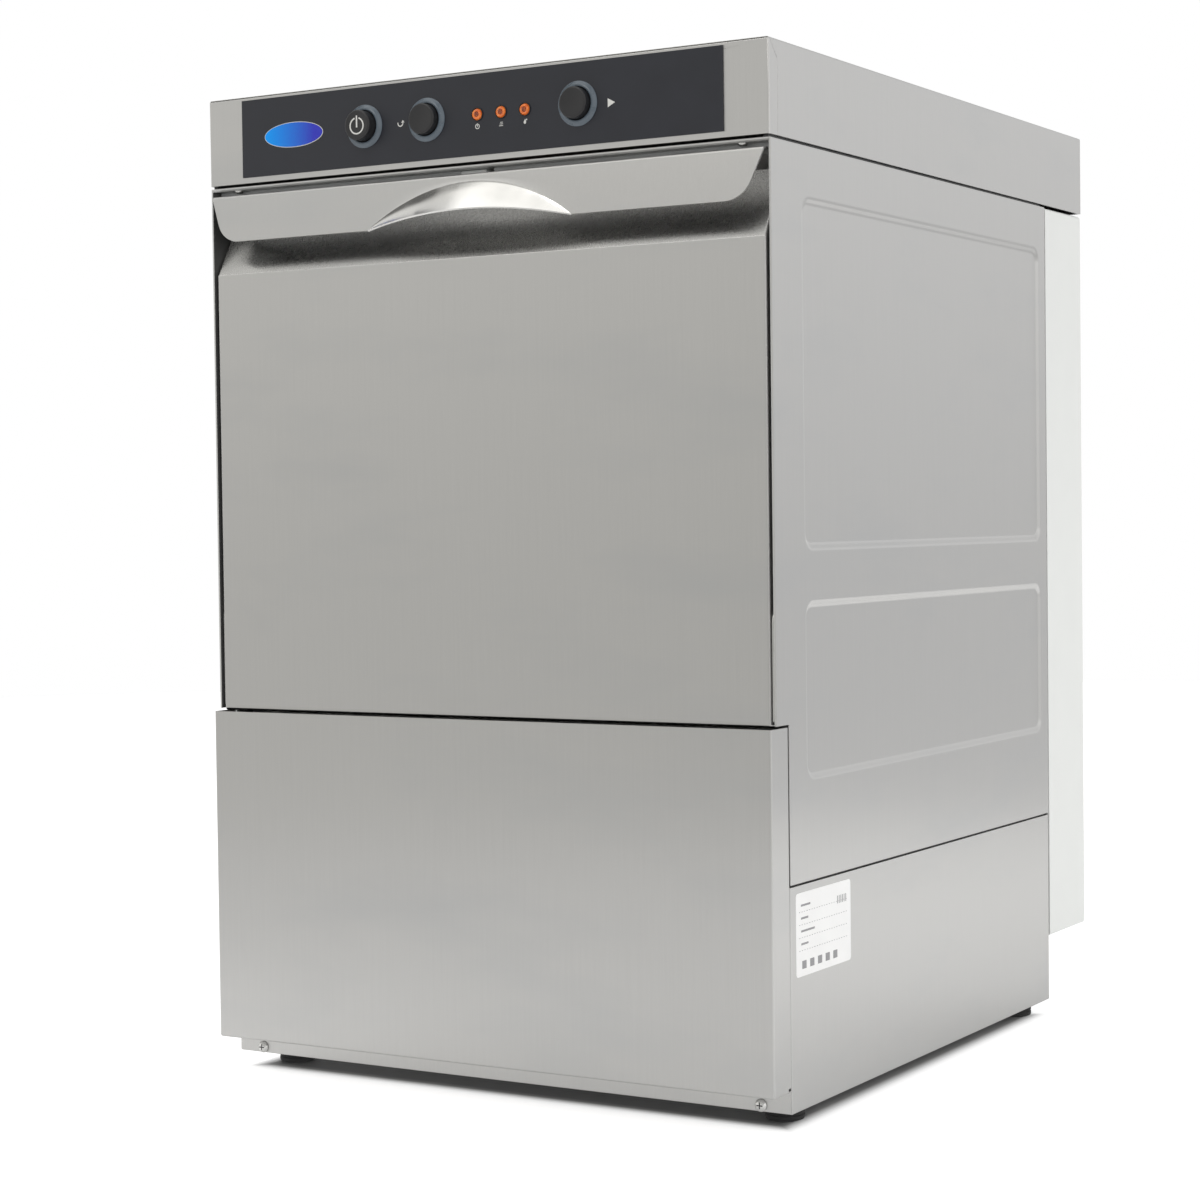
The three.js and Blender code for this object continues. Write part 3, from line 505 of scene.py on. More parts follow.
def inset_outline(corners, radii, inset, steps=6):
    """An open outline moved sideways by inset, to its left, with each inner corner rounded."""
    points = [Vector(c) for c in corners]
    normals = []
    for a, b in zip(points, points[1:]):
        along = (b - a).normalized()
        normals.append(Vector((-along.y, along.x)))
    moved = [points[0] + normals[0] * inset]
    for i in range(1, len(points) - 1):
        n, m = normals[i - 1], normals[i]
        moved.append(points[i] + (n + m) * (inset / (1 + n.dot(m))))
    moved.append(points[-1] + normals[-1] * inset)
    outline = [moved[0]]
    for i in range(1, len(moved) - 1):
        n, m = normals[i - 1], normals[i]
        bends_left = n.x * m.y - n.y * m.x > 0
        radius = radii[i - 1] + (-inset if bends_left else inset)
        outline += arc_points(moved[i], moved[i - 1], moved[i + 1], radius, steps)
    outline.append(moved[-1])
    return outline


def grid_faces(bm, rows):
    """Skins a list of equal rows of points with faces, and gives the rows of vertices."""
    made = [[bm.verts.new(p) for p in row] for row in rows]
    for upper, lower in zip(made, made[1:]):
        for i in range(len(upper) - 1):
            corners = [upper[i], upper[i + 1], lower[i + 1], lower[i]]
            bm.faces.new(corners)
    return made


def turned(profile, segments=48, closed=False):
    """A solid turned about Z from [radius, height] points in metres."""
    bm = bmesh.new()
    rings = []
    for radius, height in profile:
        if radius < 1e-7:
            rings.append([bm.verts.new((0, 0, height))] * segments)
            continue
        ring = []
        for i in range(segments):
            angle = 2 * math.pi * i / segments
            ring.append(bm.verts.new((radius * math.cos(angle), radius * math.sin(angle), height)))
        rings.append(ring)
    pairs = list(zip(rings, rings[1:]))
    if closed:
        pairs.append((rings[-1], rings[0]))
    for first, second in pairs:
        for i in range(segments):
            j = (i + 1) % segments
            corners = []
            for vertex in (first[i], first[j], second[j], second[i]):
                if vertex not in corners:
                    corners.append(vertex)
            if len(corners) > 2:
                bm.faces.new(corners)
    bmesh.ops.recalc_face_normals(bm, faces=bm.faces)
    return bm


FACING_FRONT = Matrix.Rotation(math.radians(90), 4, "X")      # turns +Z to -Y
ALONG_X = Matrix.Rotation(math.radians(90), 4, "Y")           # turns +Z to +X


def moved(bm, matrix=None, to=(0, 0, 0)):
    if matrix:
        bmesh.ops.transform(bm, matrix=matrix, verts=bm.verts)
    bmesh.ops.translate(bm, verts=bm.verts, vec=to)
    return bm


def joined(first, *others):
    """Puts the meshes of the others into the first."""
    for other in others:
        holder = bpy.data.meshes.new("holder")
        other.to_mesh(holder)
        other.free()
        first.from_mesh(holder)
        bpy.data.meshes.remove(holder)
    return first


def rounded_block(size, at, radius, segments=2):
    bm = bmesh.new()
    bmesh.ops.create_cube(bm, size=1)
    bmesh.ops.scale(bm, vec=size, verts=bm.verts)
    bmesh.ops.bevel(bm, geom=list(bm.edges), offset=radius, segments=segments, profile=0.5, affect="EDGES")
    return moved(bm, to=at)


def flat_shape(outline, thickness, to_place):
    """A thin plate: an outline of (u, v) points given depth. to_place(u, v, w) gives the 3-D point."""
    bm = bmesh.new()
    front = [bm.verts.new(to_place(u, v, thickness)) for u, v in outline]
    back = [bm.verts.new(to_place(u, v, 0)) for u, v in outline]
    bm.faces.new(front)
    bm.faces.new(list(reversed(back)))
    for i in range(len(outline)):
        j = (i + 1) % len(outline)
        bm.faces.new((front[j], front[i], back[i], back[j]))
    bmesh.ops.recalc_face_normals(bm, faces=bm.faces)
    return bm


def rounded_rectangle(width, height, radius, steps=6):
    outline = []
    for turn, (sx, sy) in enumerate(((1, -1), (1, 1), (-1, 1), (-1, -1))):
        cx, cy = sx * (width / 2 - radius), sy * (height / 2 - radius)
        for i in range(steps + 1):
            angle = math.radians(90 * (turn - 1) + 90 * i / steps)
            outline.append((cx + radius * math.cos(angle), cy + radius * math.sin(angle)))
    return outline


def swept(points, radius, sides=12, closed=False):
    """A round bar along a list of points."""
    bm = bmesh.new()
    route = [Vector(p) for p in points]
    count = len(route)
    rings = []
    side = None
    for i, point in enumerate(route):
        before = route[i - 1] if i or closed else route[0]
        after = route[(i + 1) % count] if i < count - 1 or closed else route[-1]
        along = (after - before).normalized()
        if side is None:
            side = along.orthogonal().normalized()
        side = (side - along * side.dot(along)).normalized()
        other = along.cross(side)
        ring = []
        for k in range(sides):
            angle = 2 * math.pi * k / sides
            ring.append(bm.verts.new(point + (side * math.cos(angle) + other * math.sin(angle)) * radius))
        rings.append(ring)
    pairs = list(zip(rings, rings[1:]))
    if closed:
        pairs.append((rings[-1], rings[0]))
    for first, second in pairs:
        for k in range(sides):
            n = (k + 1) % sides
            bm.faces.new((first[k], first[n], second[n], second[k]))
    if not closed:
        bm.faces.new(list(reversed(rings[0])))
        bm.faces.new(rings[-1])
    bmesh.ops.recalc_face_normals(bm, faces=bm.faces)
    return bm


# ---- Measures taken from the frame ---------------------------------------------------------------

head_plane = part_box("control_fascia")[0].y          # depths below are counted from here, in mm
MACHINE_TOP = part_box("top_cover")[1].z / MM
HEAD_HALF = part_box("top_cover")[1].x / MM
BODY_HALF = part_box("wash_tank")[1].x / MM
DOOR_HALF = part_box("door_outer_skin")[1].x / MM
HANDLE_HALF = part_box("door_handle")[1].x / MM
BUTTON_HEIGHT = (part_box("power_button_cap")[0].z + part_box("power_button_cap")[1].z) / 2 / MM


def place(x, depth, z):
    """A point from millimetres: across, back from the control head's front plane, and up."""
    return Vector((x * MM, head_plane + depth * MM, z * MM))


def middle_x(node):
    return (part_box(node)[0].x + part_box(node)[1].x) / 2 / MM


def depth_range(node):
    return [(corner.y - head_plane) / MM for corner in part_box(node)]


def height_range(node):
    return [corner.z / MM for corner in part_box(node)]


def turned_front(profile, x, z, segments=48):
    """Turned about a line that runs from front to back. profile is [radius, depth] in mm."""
    bm = turned([(radius * MM, -depth * MM) for radius, depth in profile], segments)
    return moved(bm, FACING_FRONT, place(x, 0, z))


def turned_up(profile, x, depth, segments=40):
    """Turned about an upright line. profile is [radius, height] in mm."""
    bm = turned([(radius * MM, height * MM) for radius, height in profile], segments)
    return moved(bm, None, place(x, depth, 0))


def turned_across(profile, depth, z, segments=40):
    """Turned about a line that runs across. profile is [radius, x] in mm."""
    bm = turned([(radius * MM, x * MM) for radius, x in profile], segments)
    return moved(bm, ALONG_X, place(0, depth, z))


# ---- The materials in use ------------------------------------------------------------------------

STEEL = brushed_steel("brushed_steel_upright")
STEEL_FLAT = brushed_steel("brushed_steel_flat", grain=1)
GRIP_STEEL = polished_steel("grip_steel", colour=(0.88, 0.875, 0.86), roughness=0.13)
RECESS_STEEL = brushed_steel("recess_steel", roughness=0.27)
# Steel darkened to near black: painted shade for the deep side walls beside the door.
PAINTED_SHADE_STEEL = brushed_steel("painted_shade_steel", colour=(0.12, 0.12, 0.12), roughness=0.55)
INNER_STEEL = brushed_steel("inner_steel", grain=0, colour=(0.64, 0.64, 0.63), roughness=0.30)
POLISHED = polished_steel("polished_steel")
WHITE = moulded("white_enamel", (0.825, 0.84, 0.825), 0.45, texture=900, depth=0.00006, spread=0.006)
FILM = moulded("dark_film", (0.0145, 0.0162, 0.0240), 0.40, texture=3500, depth=0.00001, spread=0.06)
BEZEL = moulded("blue_grey_plastic", (0.105, 0.135, 0.168), 0.30, spread=0.06, coat=0.35)
BLACK = moulded("black_plastic", (0.017, 0.017, 0.019), 0.40, spread=0.08)
RUBBER = moulded("black_rubber", (0.018, 0.018, 0.019), 0.75, texture=1400, depth=0.00008)
BLUE = moulded("blue_plastic", (0.028, 0.15, 0.42), 0.40, texture=1500, spread=0.07)
GREY = moulded("grey_plastic", (0.21, 0.225, 0.235), 0.48, texture=1500, spread=0.07)
PALE = moulded("pale_plastic", (0.80, 0.82, 0.82), 0.50, texture=1500, spread=0.04)
# Mid grey for the strips under the roof's front edge: painted reflection.
ROOF_BAND_GREY = moulded("painted_reflection_grey", (0.46, 0.47, 0.48), 0.50, texture=1500, spread=0.04)
CAST = moulded("cast_metal", (0.27, 0.28, 0.29), 0.50, texture=700, depth=0.0002, spread=0.10)
BOARD = moulded("green_board", (0.025, 0.14, 0.05), 0.45, texture=300, depth=0.00008, spread=0.25)
PRINT = moulded("white_print", (0.72, 0.72, 0.70), 0.55, texture=3000, depth=0.00001, spread=0.03)
LABEL = moulded("label_white", (0.97, 0.97, 0.97), 0.50, texture=2000, depth=0.00001, spread=0.02)
LABEL_INK = moulded("label_grey", (0.33, 0.33, 0.34), 0.60, texture=2000, depth=0.00001, spread=0.05)
LENS = lens_material("orange_lens", dark=(0.70, 0.10, 0.008), light=(0.95, 0.30, 0.04), glow=0.10)
# A darker copy of the lens material for the dimple: painted shade.
LENS_SHADE = lens_material("orange_lens_painted_shade", dark=(0.20, 0.03, 0.004), light=(0.42, 0.09, 0.01),
                            glow=0.02)
BADGE = badge_material(left=-0.165, right=-0.125)
CAST.node_tree.nodes["Principled BSDF"].inputs["Metallic"].default_value = 0.8


def top_faces_grain(bm):
    """Faces that look up or down take the second material of the piece."""
    for face in bm.faces:
        face.normal_update()
        if abs(face.normal.z) > 0.8:
            face.material_index = 1


# ---- Control head --------------------------------------------------------------------------------

def upright(direction):
    return abs(direction.z) > 0.9


def across(direction):
    return abs(direction.x) > 0.9


def front_to_back(direction):
    return abs(direction.y) > 0.9


def build_head():
    top = MACHINE_TOP * MM
    half = HEAD_HALF * MM
    bend = 1.5 * MM

    def top_edge(middle, direction):
        return front_to_back(direction) and near(middle.z, top) and near(abs(middle.x), half)

    refine_two("top_cover", [STEEL, STEEL_FLAT], bend, top_edge)

    def front_edge(middle, direction):
        on_front = near(middle.y, head_plane)
        on_top = across(direction) and near(middle.z, top)
        on_side = upright(direction) and near(abs(middle.x), half)
        return on_front and (on_top or on_side)

    refine_two("control_fascia", [STEEL, STEEL_FLAT], bend, front_edge)
    refine("control_overlay", FILM, radius=0.12 * MM, segments=1)


def refine_two(node, materials, bend, where, radius=0.2 * MM, sharper=25):
    """Like refine, for a sheet with one kind of bend and a second material on its level faces."""
    bm = cad_copy(node)
    round_edges(bm, bend, where, segments=4, sharper=12)
    round_edges(bm, radius, None, 1, sharper)
    top_faces_grain(bm)
    return add_piece(node + "_shell", bm, materials, body_of(node), [node])


def build_button(name):
    bezel, cap = name + "_button_bezel", name + "_button_cap"
    x = middle_x(cap)
    front = depth_range(cap)[0]
    ring = [(10.5, 5.5), (10.5, -2.3), (10.7, -2.8), (11.2, -3), (11.8, -3), (12.6, -2.6), (13.2, -1.9),
            (13.8, -1.35), (14.2, -1.15), (14.2, -0.8), (11.6, -0.8), (11.6, 5.5), (10.5, 5.5)]
    add_piece(bezel + "_ring", turned_front(ring, x, BUTTON_HEIGHT, 64), BEZEL, body_of(bezel),
              [bezel])

    edge = 1.3
    radius = 10
    dish = [(0, front + 0.35), (3, front + 0.31), (6, front + 0.18), (radius - edge - 0.4, front + 0.02)]
    rim = [(radius - edge + edge * math.sin(a), front + edge - edge * math.cos(a))
           for a in [math.radians(15 * k) for k in range(7)]]
    profile = dish + rim + [(radius, 1), (4, 1), (4, 14), (0, 14)]
    add_piece(cap + "_moulding", turned_front(profile, x, BUTTON_HEIGHT, 64), BLACK, body_of(cap),
              [cap])


def printed(name, outline, x, z, depth, material=None, thickness=0.05, body="cabinet"):
    """A print or label that lies on an upright plane facing the front, outline in mm round (x, z)."""
    def to_place(u, v, w):
        return place(x + u, depth - w, z + v)

    bm = flat_shape(outline, thickness, to_place)
    return add_piece(name, bm, material or PRINT, body)


def ring_sector(outer, inner, start, end, steps=28):
    """An outline of part of a ring, angles in degrees from +X."""
    def point(radius, i):
        angle = math.radians(start + (end - start) * i / steps)
        return radius * math.cos(angle), radius * math.sin(angle)

    return [point(outer, i) for i in range(steps + 1)] + [point(inner, i) for i in range(steps, -1, -1)]


def bar(width, height, x=0, z=0):
    return [(x - width / 2, z - height / 2), (x + width / 2, z - height / 2),
            (x + width / 2, z + height / 2), (x - width / 2, z + height / 2)]


def oval(width, height, steps=72):
    return [(width / 2 * math.cos(2 * math.pi * i / steps), height / 2 * math.sin(2 * math.pi * i / steps))
            for i in range(steps)]


def build_prints():
    x = middle_x("power_button_cap")
    cap_front = depth_range("power_button_cap")[0] + 0.34
    body = body_of("power_button_cap")
    printed("power_symbol_arc", ring_sector(5.7, 4.75, -252, 72), x, BUTTON_HEIGHT - 0.6, cap_front,
            thickness=0.2, body=body)
    printed("power_symbol_bar", bar(1.05, 7.8, 0, 2.8), x, BUTTON_HEIGHT - 0.6, cap_front,
            thickness=0.2, body=body)

    film = depth_range("control_overlay")[0] + 0.01
    badge_x, badge_z = -142.0, 638.7
    printed("badge_rim", oval(48.8, 16.9), badge_x, badge_z, film, thickness=0.35)
    printed("badge_face", oval(47.8, 16.0), badge_x, badge_z, film, BADGE, thickness=0.55)

    icon_z = 631.3
    lamp_x = [middle_x(n) for n in ("power_lamp", "heating_lamp", "cycle_lamp")]
    printed("power_icon", ring_sector(1.7, 1.2, -250, 70), lamp_x[0], icon_z, film)
    printed("power_icon_bar", bar(0.5, 2.2, 0, 0.9), lamp_x[0], icon_z, film)
    for i, z in enumerate((-1.1, 0, 1.1)):
        printed("heating_icon_line_%d" % (i + 1), bar(3.0 - 0.5 * i, 0.35, 0.2 * i, z), lamp_x[1], icon_z,
                film)
    drop = [(0.9 * math.cos(a), 1.1 * math.sin(a)) for a in [math.radians(-200 + 22 * k) for k in range(11)]]
    printed("cycle_icon", drop + [(0.3, 2.2)], lamp_x[2], icon_z - 0.4, film)
    printed("cycle_icon_dot", oval(0.9, 1.1, 16), lamp_x[2] + 1.3, icon_z + 1.2, film)
    printed("cycle_button_icon", ring_sector(2.3, 1.6, 165, 375), -54.9, 638.6, film)
    printed("cycle_button_icon_tip", [(0.7, 0), (3.2, 0), (2.0, 1.7)], -54.9, 638.9, film)
    printed("start_button_icon", [(-2.4, -2.8), (2.9, 0), (-2.4, 2.8)], 105, 637.5, film)


def build_lamp(name):
    """A faceted orange jewel. Its dimple takes a darker copy of the lens material, painted shade, so
    the ring round it reads bright.
    """
    node = name + "_lamp"
    x = middle_x(node)
    dome = [(0, -0.9), (0.8, -0.95), (1.4, -1.3), (1.8, -1.9), (2.2, -2.25), (2.7, -2.3), (3.1, -2.05),
            (3.6, -1.2), (3.8, -0.6), (3.8, 1), (3.2, 1), (3.2, 12), (0, 12)]
    bm = turned_front(dome, x, BUTTON_HEIGHT, 24)
    for face in bm.faces:
        offset = face.calc_center_median() / MM - Vector((x, 0, BUTTON_HEIGHT))
        # Faces near the axis take the dark copy: painted shade in the dimple.
        if math.hypot(offset.x, offset.z) < 1.8:
            face.material_index = 1
    add_piece(node + "_lens", bm, [LENS, LENS_SHADE], body_of(node), [node], smooth=25)
    collar = [(3.85, -0.75), (4.2, -0.85), (4.45, -1.1), (4.3, -1.4), (3.95, -1.35), (3.85, -0.75)]
    add_piece(node + "_collar", turned_front(collar, x, BUTTON_HEIGHT, 40), BLACK, "cabinet")


# ---- Door ----------------------------------------------------------------------------------------

DOOR_SHEET = 1.2
DOOR_BACK = 24.5
RECESS_BEND = 548.3
RECESS_TOP = 591.6


def side_columns(half, radius, middle, steps=5):
    """Columns across a sheet whose sides are bent back: (x, inset) from left to right."""
    curve = []
    for i in range(steps + 1):
        angle = math.radians(90 * i / steps)
        curve.append((half - radius + radius * math.sin(angle), radius * (1 - math.cos(angle))))
    left = [(-x, inset) for x, inset in reversed(curve)]
    return left + [(x, 0) for x in middle] + curve


DOOR_DROP = 1.8           # how far the folded foot of the door hangs below its box


def door_profile(inset):
    face, back = depth_range("door_outer_skin")[0], DOOR_BACK
    bottom, top = height_range("door_outer_skin")
    bottom -= DOOR_DROP
    recess = depth_range("door_outer_skin")[1] - DOOR_SHEET
    corners = [(recess, top), (recess, RECESS_TOP), (face, RECESS_BEND), (face, bottom), (back, bottom)]
    return inset_outline(corners, [3, 1.4, 2], inset, steps=7)


def build_door_outer():
    """One folded sheet: the face, the finger recess above it, and the bent sides and bottom."""
    node = "door_outer_skin"
    columns = side_columns(DOOR_HALF, 1.8, [x * 0.1 * DOOR_HALF for x in range(-8, 9, 4)])
    bm = folded_sheet(columns, door_profile, lambda z: DOOR_BACK, DOOR_SHEET)
    for face in bm.faces:
        face.normal_update()
        if abs(face.normal.z) > 0.3 and face.calc_center_median().z > (RECESS_BEND + 0.8) * MM:
            face.material_index = 1
    add_piece(node + "_shell", bm, [STEEL, RECESS_STEEL], body_of(node), [node], smooth=30)


def folded_sheet(columns, profile, side_back, sheet):
    """A sheet that follows the profile at every column and whose two sides are bent back. side_back
    gives the depth at which a side ends at a height."""
    bm = bmesh.new()
    grid_faces(bm, [[place(x, p.x, p.y) for p in profile(inset)] for x, inset in columns])
    for x, inset in (columns[0], columns[-1]):
        edge = profile(inset)
        front = [bm.verts.new(place(x, p.x, p.y)) for p in edge]
        rear = [bm.verts.new(place(x, max(side_back(p.y), p.x), p.y)) for p in edge]
        for i in range(len(edge) - 1):
            bm.faces.new((front[i], front[i + 1], rear[i + 1], rear[i]))
    bmesh.ops.remove_doubles(bm, verts=bm.verts, dist=2e-6)
    thicken(bm, sheet * MM, outwards=Vector((0, -1, 0)))
    return bm


def thicken(bm, thickness, outwards):
    """Gives a one-sided sheet its thickness behind the side that faces outwards."""
    bmesh.ops.recalc_face_normals(bm, faces=bm.faces)
    bm.normal_update()
    if sum(face.normal.dot(outwards) * face.calc_area() for face in bm.faces) < 0:
        bmesh.ops.reverse_faces(bm, faces=bm.faces)
    bm.normal_update()
    bmesh.ops.solidify(bm, geom=list(bm.faces), thickness=thickness)


def build_door_inner():
    """The wet side of the door: a tray with a shallow pressed dish."""
    node = "door_inner_skin"
    refine(node, INNER_STEEL, radius=0.3 * MM)


GRIP_HALF = 78.6
GRIP_PEAK = 596.6
GRIP_EDGE = 578.4


def handle_depth(z):
    """Depth of the handle's sloping front at a height."""
    low_z, high_z = HANDLE_BOTTOM, HANDLE_TOP
    return -1.7 + (high_z - z) / (high_z - low_z) * (-6.6 + 1.7)


HANDLE_BOTTOM, HANDLE_TOP = 569.8, 601.8
HANDLE_TOE, CORNER_REACH = 186.7, 17.9          # where the lower corner's arc starts, and how far it goes


def handle_lower_edge(x):
    """Height of the handle plate's lower edge: rounded corners and leaning ends."""
    radius = 19
    x = abs(x)
    if x <= HANDLE_TOE:
        return HANDLE_BOTTOM
    if x <= HANDLE_TOE + CORNER_REACH:
        return HANDLE_BOTTOM + radius - math.sqrt(radius ** 2 - (x - HANDLE_TOE) ** 2)
    shoulder = HANDLE_BOTTOM + radius - math.sqrt(radius ** 2 - CORNER_REACH ** 2)
    share = (x - HANDLE_TOE - CORNER_REACH) / (HANDLE_HALF - HANDLE_TOE - CORNER_REACH)
    return shoulder + share * (HANDLE_TOP - 2.2 - shoulder)


def grip_arc(x):
    rise = GRIP_PEAK - HANDLE_BOTTOM
    radius = (GRIP_HALF ** 2 + rise ** 2) / (2 * rise)
    return GRIP_PEAK - radius + math.sqrt(radius ** 2 - x ** 2)


def handle_column(x):
    """Points of the handle's outer side at one x: the level leg, the bend, the plate and the grip."""
    bend = 1.9
    back = 30
    points = [(back, HANDLE_TOP), (back * 0.5, HANDLE_TOP)]
    lean = math.atan2(6.6 - 1.7, HANDLE_TOP - HANDLE_BOTTOM)
    turn = math.pi / 2 - lean
    front = handle_depth(HANDLE_TOP)
    tangent = bend * math.tan(turn / 2)
    centre_y, centre_z = front + tangent, HANDLE_TOP - bend
    steps = 7
    for i in range(steps + 1):
        angle = turn * i / steps
        points.append((centre_y - bend * math.sin(angle), centre_z + bend * math.cos(angle)))
    start = points[-1][1]
    inside = abs(x) < GRIP_HALF
    crease = grip_arc(x) if inside else handle_lower_edge(x)
    for share in (0.5, 1):
        z = start + (crease - start) * share
        points.append((handle_depth(z), z))
    bulge = max(0, 1 - (x / GRIP_HALF) ** 2)
    lip = HANDLE_BOTTOM + (GRIP_EDGE - HANDLE_BOTTOM) * bulge if inside else crease
    lip_depth = depth_range("door_handle")[0]
    reach = (lip_depth - handle_depth(GRIP_EDGE)) * bulge
    flare_rows = 10
    for i in range(1, flare_rows + 1):
        down = i / flare_rows
        z = crease + (lip - crease) * down
        forward = reach * (0.45 * down + 0.55 * down ** 2)
        points.append((handle_depth(z) + forward, z))
    return points


def build_handle():
    node = "door_handle"
    grip = [GRIP_HALF * math.sin(math.radians(a)) for a in range(-90, 91, 4)]
    plate = [100, 130, 160, HANDLE_TOE]
    corner = [HANDLE_TOE + CORNER_REACH * i / 10 for i in range(1, 11)] + [207, 209, HANDLE_HALF]
    side = plate + corner
    columns = [-x for x in reversed(side)] + grip + side
    bm = bmesh.new()
    rows = [[place(x, y, z) for y, z in handle_column(x)] for x in columns]
    grid_faces(bm, rows)
    bmesh.ops.remove_doubles(bm, verts=bm.verts, dist=2e-6)
    for face in bm.faces:
        middle = face.calc_center_median() / MM
        if abs(middle.x) < GRIP_HALF and middle.z < grip_arc(middle.x) - 0.2:
            face.material_index = 1
    thicken(bm, 1.3 * MM, outwards=Vector((0, -1, 0)))
    add_piece(node + "_shell", bm, [STEEL, GRIP_STEEL], body_of(node), [node], smooth=14)


# ---- Body, base and covers -----------------------------------------------------------------------

DOOR_POCKET = 36          # depth of the space in front of the tank's mouth, which the door fills


def build_body():
    node = "wash_tank"
    half = BODY_HALF * MM
    bm = cad_copy(node)

    def pressing(middle, direction):
        low_z, high_z = 200 * MM, 590 * MM
        return abs(middle.x) > half - 5 * MM and low_z < middle.z < high_z and \
            head_plane + 38 * MM < middle.y < head_plane + 442 * MM

    round_edges(bm, 1.3 * MM, pressing, segments=3, sharper=12)

    def outer_bend(middle, direction):
        return near(abs(middle.x), half) and (
            upright(direction) or (front_to_back(direction) and middle.z > 600 * MM))

    round_edges(bm, 0.6 * MM, outer_bend, segments=2, sharper=60)
    for face in bm.faces:
        face.normal_update()
        middle = face.calc_center_median()
        outer_side = abs(middle.x) > half - 0.5 * MM
        beside_door = middle.y < head_plane + DOOR_POCKET * MM and middle.z < 606 * MM
        outside = abs(middle.x) > half - 1.45 * MM or abs(face.normal.x) > 0.7
        # Painted shade: side walls in the pocket beside the door take the near-black steel.
        if beside_door and not outer_side and abs(face.normal.x) > 0.7:
            face.material_index = 2
        else:
            face.material_index = 0 if outside else 1
    add_piece(node + "_shell", bm, [STEEL, INNER_STEEL, PAINTED_SHADE_STEEL], body_of(node), [node],
              smooth=28)


def build_roof_screws():
    """Two small pan heads under the front edge of the roof."""
    profile = [(0, 603.6), (1.9, 603.7), (2.8, 604.2), (3.2, 605.0), (3.2, 605.5), (0, 605.5)]
    for side, x in (("left", -194), ("right", 194)):
        add_piece("roof_screw_" + side, turned_up(profile, x, 5.5, 24), POLISHED, "cabinet")


def build_base():
    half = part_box("base_chassis")[1].x
    floor_z, top_z = (corner.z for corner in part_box("base_chassis"))

    def tray_edge(middle, direction):
        corner = upright(direction) and near(abs(middle.x), half)
        foot = near(middle.z, floor_z) and (across(direction) or near(abs(middle.x), half))
        return corner or foot

    refine_two("base_chassis", [STEEL, STEEL_FLAT], 1.6 * MM, tray_edge)

    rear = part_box("rear_cover")[1].y
    cover_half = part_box("rear_cover")[1].x
    cover_low, cover_high = (corner.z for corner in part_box("rear_cover"))

    def cover_bend(middle, direction):
        on_back = near(middle.y, rear)
        on_corner = near(abs(middle.x), cover_half) and (
            near(middle.z, cover_low) or near(middle.z, cover_high))
        return on_back or on_corner

    refine("rear_cover", WHITE, radius=0.25 * MM, bends=[(2.2 * MM, cover_bend)])


def build_joint_shades():
    """Black strips in the joints under the head, over the base, before the rear cover and behind the
    kick panel. They keep light out of the joints, and their black is painted shade that makes each joint
    read dark."""
    inset, width, slack = 1.6, 3, 0.1
    body_bottom, body_top = height_range("wash_tank")
    body_back = depth_range("wash_tank")[1]
    base_front = depth_range("base_chassis")[0]
    cover_bottom, cover_top = height_range("rear_cover")
    kick_bottom, kick_top = KICK_BEND + 3, height_range("kick_panel")[1]
    strips = {
        "head_joint_shade": (1.5, body_back - 4, body_top, height_range("top_cover")[0]),
        "base_joint_shade": (base_front + 3, body_back - 4, height_range("base_chassis")[1], body_bottom),
        "cover_joint_shade": (body_back, depth_range("rear_cover")[0], cover_bottom + 1, cover_top - 1),
        "kick_joint_shade": (depth_range("kick_panel")[1] - KICK_SEAM, base_front, kick_bottom, kick_top - 1),
    }
    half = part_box("rear_cover")[1].x / MM
    for side, sign in (("left", -1), ("right", 1)):
        x = sign * (half - inset - width / 2)
        for name, (near_depth, far_depth, bottom, top) in strips.items():
            size = Vector((width, far_depth - near_depth - 2 * slack, top - bottom - 2 * slack)) * MM
            middle = place(x, (near_depth + far_depth) / 2, (bottom + top) / 2)
            # Black strips: painted shade in the joints.
            add_piece(name + "_" + side, rounded_block(size, middle, 0.15 * MM, 1), BLACK, "cabinet")


KICK_SHEET = 1.2
KICK_BEND = 24.8
KICK_RELIEF = 1.7         # height of the notch at the foot of each side return
KICK_SEAM = 1.1           # how far a side return stays clear of the base


def kick_profile(inset):
    face, back = depth_range("kick_panel")
    top = height_range("kick_panel")[1]
    notch = KICK_BEND + 1.6 + KICK_RELIEF
    corners = [(face, top), (face, notch + 0.1), (face, notch), (face, KICK_BEND),
               (back - KICK_SHEET, KICK_BEND)]
    return inset_outline(corners, [0, 0, 1.6], inset, steps=5)


def build_kick_panel():
    """One folded sheet with a ledge along its foot, and the flange that takes the screws."""
    node = "kick_panel"
    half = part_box(node)[1].x / MM
    back = depth_range(node)[1]
    foot = height_range(node)[0]

    def side_back(z):
        return back - KICK_SEAM if z > KICK_BEND + 1.65 + KICK_RELIEF else back - 4.5

    columns = side_columns(half, 1.6, [x * 0.1 * half for x in range(-8, 9, 4)])
    bm = folded_sheet(columns, kick_profile, side_back, KICK_SHEET)
    size = ((2 * half - 1.4) * MM, KICK_SHEET * MM, (KICK_BEND + KICK_SHEET - foot) * MM)
    middle = place(0, back - KICK_SHEET / 2, (foot + KICK_BEND + KICK_SHEET) / 2)
    joined(bm, rounded_block(size, middle, 0.3 * MM))
    add_piece(node + "_shell", bm, STEEL, body_of(node), [node], smooth=30)
    # A flat black patch stands for the slot in the flange: painted shade of its opening.
    printed("kick_flange_slot_shade", rounded_rectangle(5, 1.3, 0.6), -181, 22.4, back - KICK_SHEET + 0.01, BLACK,
            thickness=0.06)


def phillips_head(x, z, depth, radius=4):
    """A pan head seen from the front, with a cross-shaped recess."""
    bm = turned_front([
        (0, depth - 2.3), (radius * 0.55, depth - 2.2), (radius * 0.85, depth - 1.6), (radius, depth - 0.7),
        (radius, depth), (2, depth), (2, depth + 7), (0, depth + 7)], x, z, 32)
    return bm


